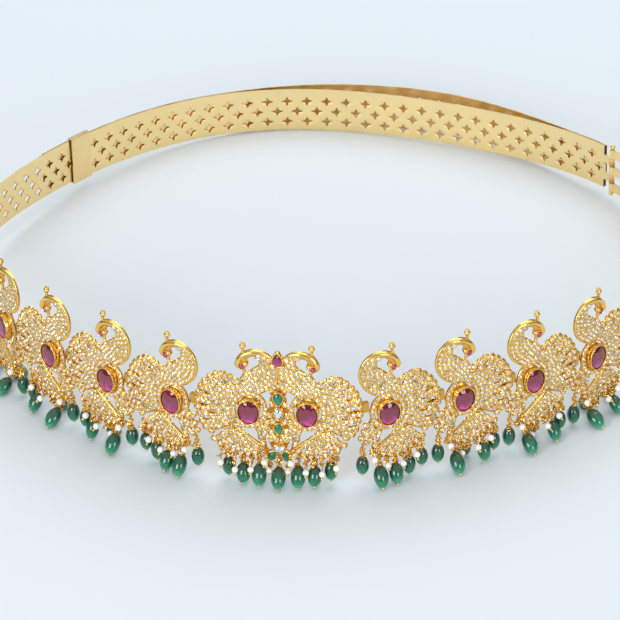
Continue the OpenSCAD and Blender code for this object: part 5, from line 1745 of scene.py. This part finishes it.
@dataclass(frozen=True)
class Strip:
    """One springy strip: sheet along the loop's line, pierced with three rows of stars."""

    name: str
    start: float
    end: float
    known: float
    off: float
    bulged: bool
    clear: tuple[float, float]
    height: float = 20.0
    thick: float = 0.6
    row: float = 5.0
    drop: float = 0.9
    step: float = (231.4 - 130.6) / 29
    star: tuple[float, float] = (5.4, 4.6)

    def on_line(self, u: np.ndarray, z: np.ndarray, side: np.ndarray | float) -> np.ndarray:
        """Points on the sheet: u is the angle along the loop, side the share of half its thickness."""
        spot = LOOP.point(u, self.off + np.asarray(side) * self.thick / 2, self.bulged)
        return np.column_stack([spot, z])

    def star_ring(self, grow: float) -> np.ndarray:
        """A star's eight corners with a point between each two, as shares of a cell."""
        t = np.radians(45 * np.arange(8))
        r = np.where(np.arange(8) % 2 == 0, 1, 0.42)
        corners = np.stack([r * np.cos(t) * self.star[0] / 2, r * np.sin(t) * self.star[1] / 2], 1)
        both = np.stack([corners, (corners + np.roll(corners, -1, 0)) / 2], 1).reshape(-1, 2)
        return grown(both, grow)

    def frame_ring(self, wide: float) -> np.ndarray:
        """The cell's border as sixteen points that face those of the star."""
        a, b = wide / 2, self.row / 2
        quarter = np.array([[a, 0], [a, b / 2], [a, b], [a / 2, b]])
        turn = lambda p: np.stack([-p[:, 1] * a / b, p[:, 0] * b / a], 1)
        rings = [quarter]
        for _ in range(3):
            rings.append(turn(rings[-1]))
        return np.concatenate(rings)

    def cell(self, wide: float) -> tuple[np.ndarray, np.ndarray, list[np.ndarray]]:
        """The flat template of a pierced cell: places across and up, side of the sheet, faces."""
        border, near, edge = self.frame_ring(wide), self.star_ring(0.16), self.star_ring(0.0)
        between = (border + near) / 2
        flat = np.concatenate([border, between, near, edge, edge, near, between, border])
        side = np.repeat([-1, -1, -1, -0.75, 0.75, 1, 1, 1], 16)
        return flat, side, [wrap_grid(8, 16)]

    def build(self) -> Surface:
        """Repeat the cell in three rows, fill what is left, and close the strip's edges."""
        made = Surface()
        wide = 9.0
        flat, side, faces = self.cell(wide)
        lowest = -self.drop - 1.5 * self.row
        highest = -self.drop + 1.5 * self.row
        for level in (-1, 0, 1):
            shift = 0.0 if level == 0 else self.step / 2
            first, last = self.known + shift, self.known + shift
            near, far = min(self.clear), max(self.clear)
            least = math.ceil((near - first) / self.step)
            most = math.floor((far - last) / self.step)
            spots = first + self.step * np.arange(least, most + 1)
            u = spots[:, None] + flat[None, :, 0] / wide * self.step
            z = np.broadcast_to(flat[None, :, 1] - self.drop + level * self.row, u.shape)
            shape = Shape(np.zeros((len(flat), 3)), faces, np.zeros(len(flat)))
            self.rows(made, u, z, side, shape)
            lo, hi = spots[0] - self.step / 2, spots[-1] + self.step / 2
            low, high = (-self.drop + (level + half) * self.row for half in (-0.5, 0.5))
            self.plain(made, min(self.start, self.end), lo, low, high)
            self.plain(made, hi, max(self.start, self.end), low, high)
        lo, hi = min(self.start, self.end), max(self.start, self.end)
        self.plain(made, lo, hi, highest, self.height / 2)
        self.plain(made, lo, hi, -self.height / 2, lowest)
        self.rims(made, lo, hi)
        return made

    def rows(self, made: Surface, u: np.ndarray, z: np.ndarray, side: np.ndarray, shape: Shape) -> None:
        """Map one row of cells onto the line, the walls of the stars painted in shade."""
        n, m = u.shape
        points = self.on_line(u.ravel(), z.ravel(), np.tile(side, n))
        steps = np.arange(n)[:, None, None] * m
        # Painted shade: the walls round each star, inside the sheet, are coloured deep orange at 0.85
        tone = np.tile(np.where(np.abs(side) < 1, 0.85, 0.0), n)
        made.add(points, [(f[None] + steps).reshape(-1, f.shape[1]) for f in shape.faces], tone)

    def plain(self, made: Surface, lo: float, hi: float, z_low: float, z_high: float) -> None:
        """The sheet's two faces between two angles, without holes."""
        if hi - lo < 0.02:
            return
        u = np.linspace(lo, hi, max(2, int(math.ceil((hi - lo) / (self.step / 4))) + 1))
        n = len(u)
        for side in (-1, 1):
            ends = [self.on_line(u, np.full(n, z), side) for z in (z_low, z_high)]
            points = np.concatenate(ends)
            i = np.arange(n - 1)
            quads = np.stack([i, i + n, i + n + 1, i + 1], 1)
            made.add(points, [quads if side < 0 else quads[:, ::-1]])

    def rims(self, made: Surface, lo: float, hi: float) -> None:
        """The narrow faces along the sheet's upper and lower edges."""
        u = np.linspace(lo, hi, int(math.ceil((hi - lo) / (self.step / 4))) + 1)
        n = len(u)
        for z, way in ((self.height / 2, 1), (-self.height / 2, -1)):
            level = np.full(n, z)
            points = np.concatenate([self.on_line(u, level, -1), self.on_line(u, level, 1)])
            i = np.arange(n - 1)
            quads = np.stack([i, i + n, i + n + 1, i + 1], 1)
            made.add(points, [quads if way > 0 else quads[:, ::-1]])


def curved_box(
    t0: float, t1: float, off: tuple[float, float], z: tuple[float, float], bulged: bool = False
) -> Shape:
    """A bar of rectangular section that follows the loop's line between two angles."""
    u = np.linspace(min(t0, t1), max(t0, t1), max(2, int(abs(t1 - t0) / 0.6) + 2))
    n = len(u)
    corners = [(off[0], z[0]), (off[1], z[0]), (off[1], z[1]), (off[0], z[1])]
    rings = np.stack([np.column_stack([LOOP.point(u, o, bulged), np.full(n, h)]) for o, h in corners], 1)
    around = np.arange(4)
    faces = [wrap_grid(n, 4), np.stack([around[::-1], around + (n - 1) * 4])]
    return Shape(rings.reshape(-1, 3), faces, np.zeros(4 * n))


@dataclass(frozen=True)
class StripSet:
    """Both strips, the sleeve and the strips' hinge knuckles."""

    inner: Strip = Strip(
        "rear_strip_inner", 131.1, 234.9, 130.6 + (231.4 - 130.6) / 58, 0.0, False, (131.2, 232.2)
    )
    outer: Strip = Strip("rear_strip_outer", 131.1, 263.0, 237.9, 0.9, True, (133.0, 262.0))

    def build(self) -> None:
        """Make the two strips' pieces."""
        inner = self.inner.build()
        inner.join(self.sleeve())
        inner.join(self.hinge(129.1, 131.3, 0.0, 0.0))
        made = inner.piece("inner_strip_pierced", SHEET_GOLD, "strip", 35)
        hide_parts("rear_strip_inner")
        outer = self.outer.build()
        outer.join(self.hinge(265.0, 262.8, 0.0, 0.9))
        made = outer.piece("outer_strip_pierced", SHEET_GOLD, "strip", 35)
        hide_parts("rear_strip_outer")

    @staticmethod
    def sleeve() -> Surface:
        """The sleeve that the outer strip slides through: four walls, and the longer outer one."""
        turn = math.degrees(12 / LOOP.a)
        end = 234.9 + turn / 2
        tail = end + math.degrees(19 / LOOP.a)
        made = Surface()
        parts = [
            ((-0.62, -0.1), (-10.8, 10.8), end), ((1.5, 2.0), (-10.8, 10.8), end),
            ((-0.55, 1.9), (10.3, 10.8), end), ((-0.55, 1.9), (-10.8, -10.3), end),
            ((1.55, 1.9), (-10, 10), tail),
        ]
        for off, z, last in parts:
            bar = curved_box(end - turn, last, off, z)
            made.add(bar.points, bar.faces, 0.1)
        return made

    @staticmethod
    def hinge(at: float, to: float, off: float, end_off: float) -> Surface:
        """Two knuckles on an upright pin and their leaves to the strip."""
        made = Surface()
        spot = LOOP.point(np.array([at]), off)[0]
        near = LOOP.point(np.array([to]), end_off)[0]
        run = near - spot
        reach, bearing = float(np.hypot(*run)), math.atan2(run[1], run[0])
        c, s = math.cos(bearing), math.sin(bearing)
        for i in (1, 3):
            low, high = -10 + 4 * i + 0.075, -10 + 4 * (i + 1) - 0.075
            body = lathe(np.array([[1.05, low], [1.23, low + 0.15], [1.23, high - 0.15], [1.05, high]]), 20)
            made.add_copies(body, np.array([[spot[0], spot[1], 0.0]]))
            points, faces = box(0.3, reach + 0.6, -0.37, 0.37, low, high)
            x, y, z = points.T
            made.add(np.stack([x * c - y * s + spot[0], x * s + y * c + spot[1], z], 1), faces)
        return made


# The photograph's camera, light and ground


@dataclass(frozen=True)
class Studio:
    """The viewpoint, found by fitting a camera to the belt's landmarks, and a soft bright studio."""

    place: tuple[float, float, float] = (0.16602, -1.17401, 0.79451)
    yaw: float = -0.1447
    pitch: float = 0.5953
    roll: float = 0.0310
    focal: float = 3382.83
    wide: float = 620.0

    def camera(self) -> None:
        """Stand the camera: its rows are the right, the up and the backward direction."""
        cp, sp = math.cos(self.pitch), math.sin(self.pitch)
        ahead = np.array([math.sin(self.yaw) * cp, math.cos(self.yaw) * cp, -sp])
        right = np.array([math.cos(self.yaw), -math.sin(self.yaw), 0.0])
        down = np.cross(ahead, right)
        c, s = math.cos(self.roll), math.sin(self.roll)
        right, down = c * right + s * down, c * down - s * right
        data = bpy.data.cameras.new("photo_camera")
        data.sensor_width = 36
        data.lens = self.focal / self.wide * 36
        data.clip_start, data.clip_end = 0.05, 20
        eye = bpy.data.objects.new("photo_camera", data)
        turn = np.eye(4)
        turn[:3, 0], turn[:3, 1], turn[:3, 2], turn[:3, 3] = right, -down, -ahead, self.place
        eye.matrix_world = Matrix(turn.tolist())
        bpy.context.scene.collection.objects.link(eye)
        bpy.context.scene.camera = eye

    def lamp(self, name: str, place: tuple, aim: tuple, size: float, power: float) -> None:
        """Add one square soft white light."""
        data = bpy.data.lights.new(name, "AREA")
        data.size, data.energy = size, power
        made = bpy.data.objects.new(name, data)
        back = np.array(place) - np.array(aim)
        back = back / np.linalg.norm(back)
        right = np.cross([0, 0, 1.0], back)
        right /= np.linalg.norm(right)
        turn = np.eye(4)
        turn[:3, 0], turn[:3, 1], turn[:3, 2], turn[:3, 3] = right, np.cross(back, right), back, place
        made.matrix_world = Matrix(turn.tolist())
        bpy.context.scene.collection.objects.link(made)

    def sky(self) -> None:
        """A bright ceiling that falls off towards the horizon, for the metal to mirror."""
        world = bpy.data.worlds.new("studio")
        world.use_nodes = True
        tree = world.node_tree
        tree.nodes.clear()
        way = add_node(tree, "ShaderNodeTexCoord", {}, {})
        parts = add_node(tree, "ShaderNodeSeparateXYZ", {}, {"Vector": way.outputs["Generated"]})
        stops = [(0.0, "#5C6168"), (0.25, "#A9B2BC"), (0.6, "#E2E8EE"), (1.0, "#FFFFFF")]
        colour = ramp(tree, parts.outputs["Z"], stops)
        light = add_node(tree, "ShaderNodeBackground", {"Strength": 0.8}, {"Color": colour})
        add_node(tree, "ShaderNodeOutputWorld", {}, {"Surface": light.outputs[0]})
        bpy.context.scene.world = world

    def floor(self) -> None:
        """The paper that the belt stands on."""
        mesh = bpy.data.meshes.new("paper")
        mesh.from_pydata([(-3, -3, 0), (3, -3, 0), (3, 3, 0), (-3, 3, 0)], [], [(0, 1, 2, 3)])
        mesh.materials.append(PAPER.material())
        made = bpy.data.objects.new("paper", mesh)
        bpy.context.scene.collection.objects.link(made)

    def build(self) -> None:
        """Set up camera, lights, sky and floor."""
        self.camera()
        self.sky()
        self.floor()
        self.lamp("above_behind", (0.1, 0.75, 1.25), (0, 0, 0.03), 1.3, 9.6)
        self.lamp("front_left", (-0.7, -1.3, 0.55), (0, 0.1, 0.03), 0.7, 9.6)
        self.lamp("front_right", (0.9, -1.2, 0.45), (0, 0.1, 0.03), 0.6, 5.4)
        view = bpy.context.scene.view_settings
        view.view_transform = "Standard"
        view.look = "None"


def dress_carried_nodes(frame: dict) -> None:
    """Give each CAD node that is shown as it is its finish.
    """
    for name, shown in frame["nodes"].items():
        if "pin" in name:
            finish, slot = POLISHED_GOLD, "pins"
        elif name.startswith("side_plate"):
            finish, slot = SHEET_GOLD, "strip"
        else:
            continue
        shown.data.materials.clear()
        shown.data.materials.append(finish.material())
        LOG.info("carried over %s in %s", name, finish.name)


def main() -> None:
    """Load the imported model, build the looks around it and set up the picture."""
    logging.basicConfig(level=logging.INFO, format="%(name)s: %(message)s")
    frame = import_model()
    dress_carried_nodes(frame)
    PanelSet().build()
    DropSet().build()
    StripSet().build()
    Studio().build()


if __name__ == "__main__":
    main()
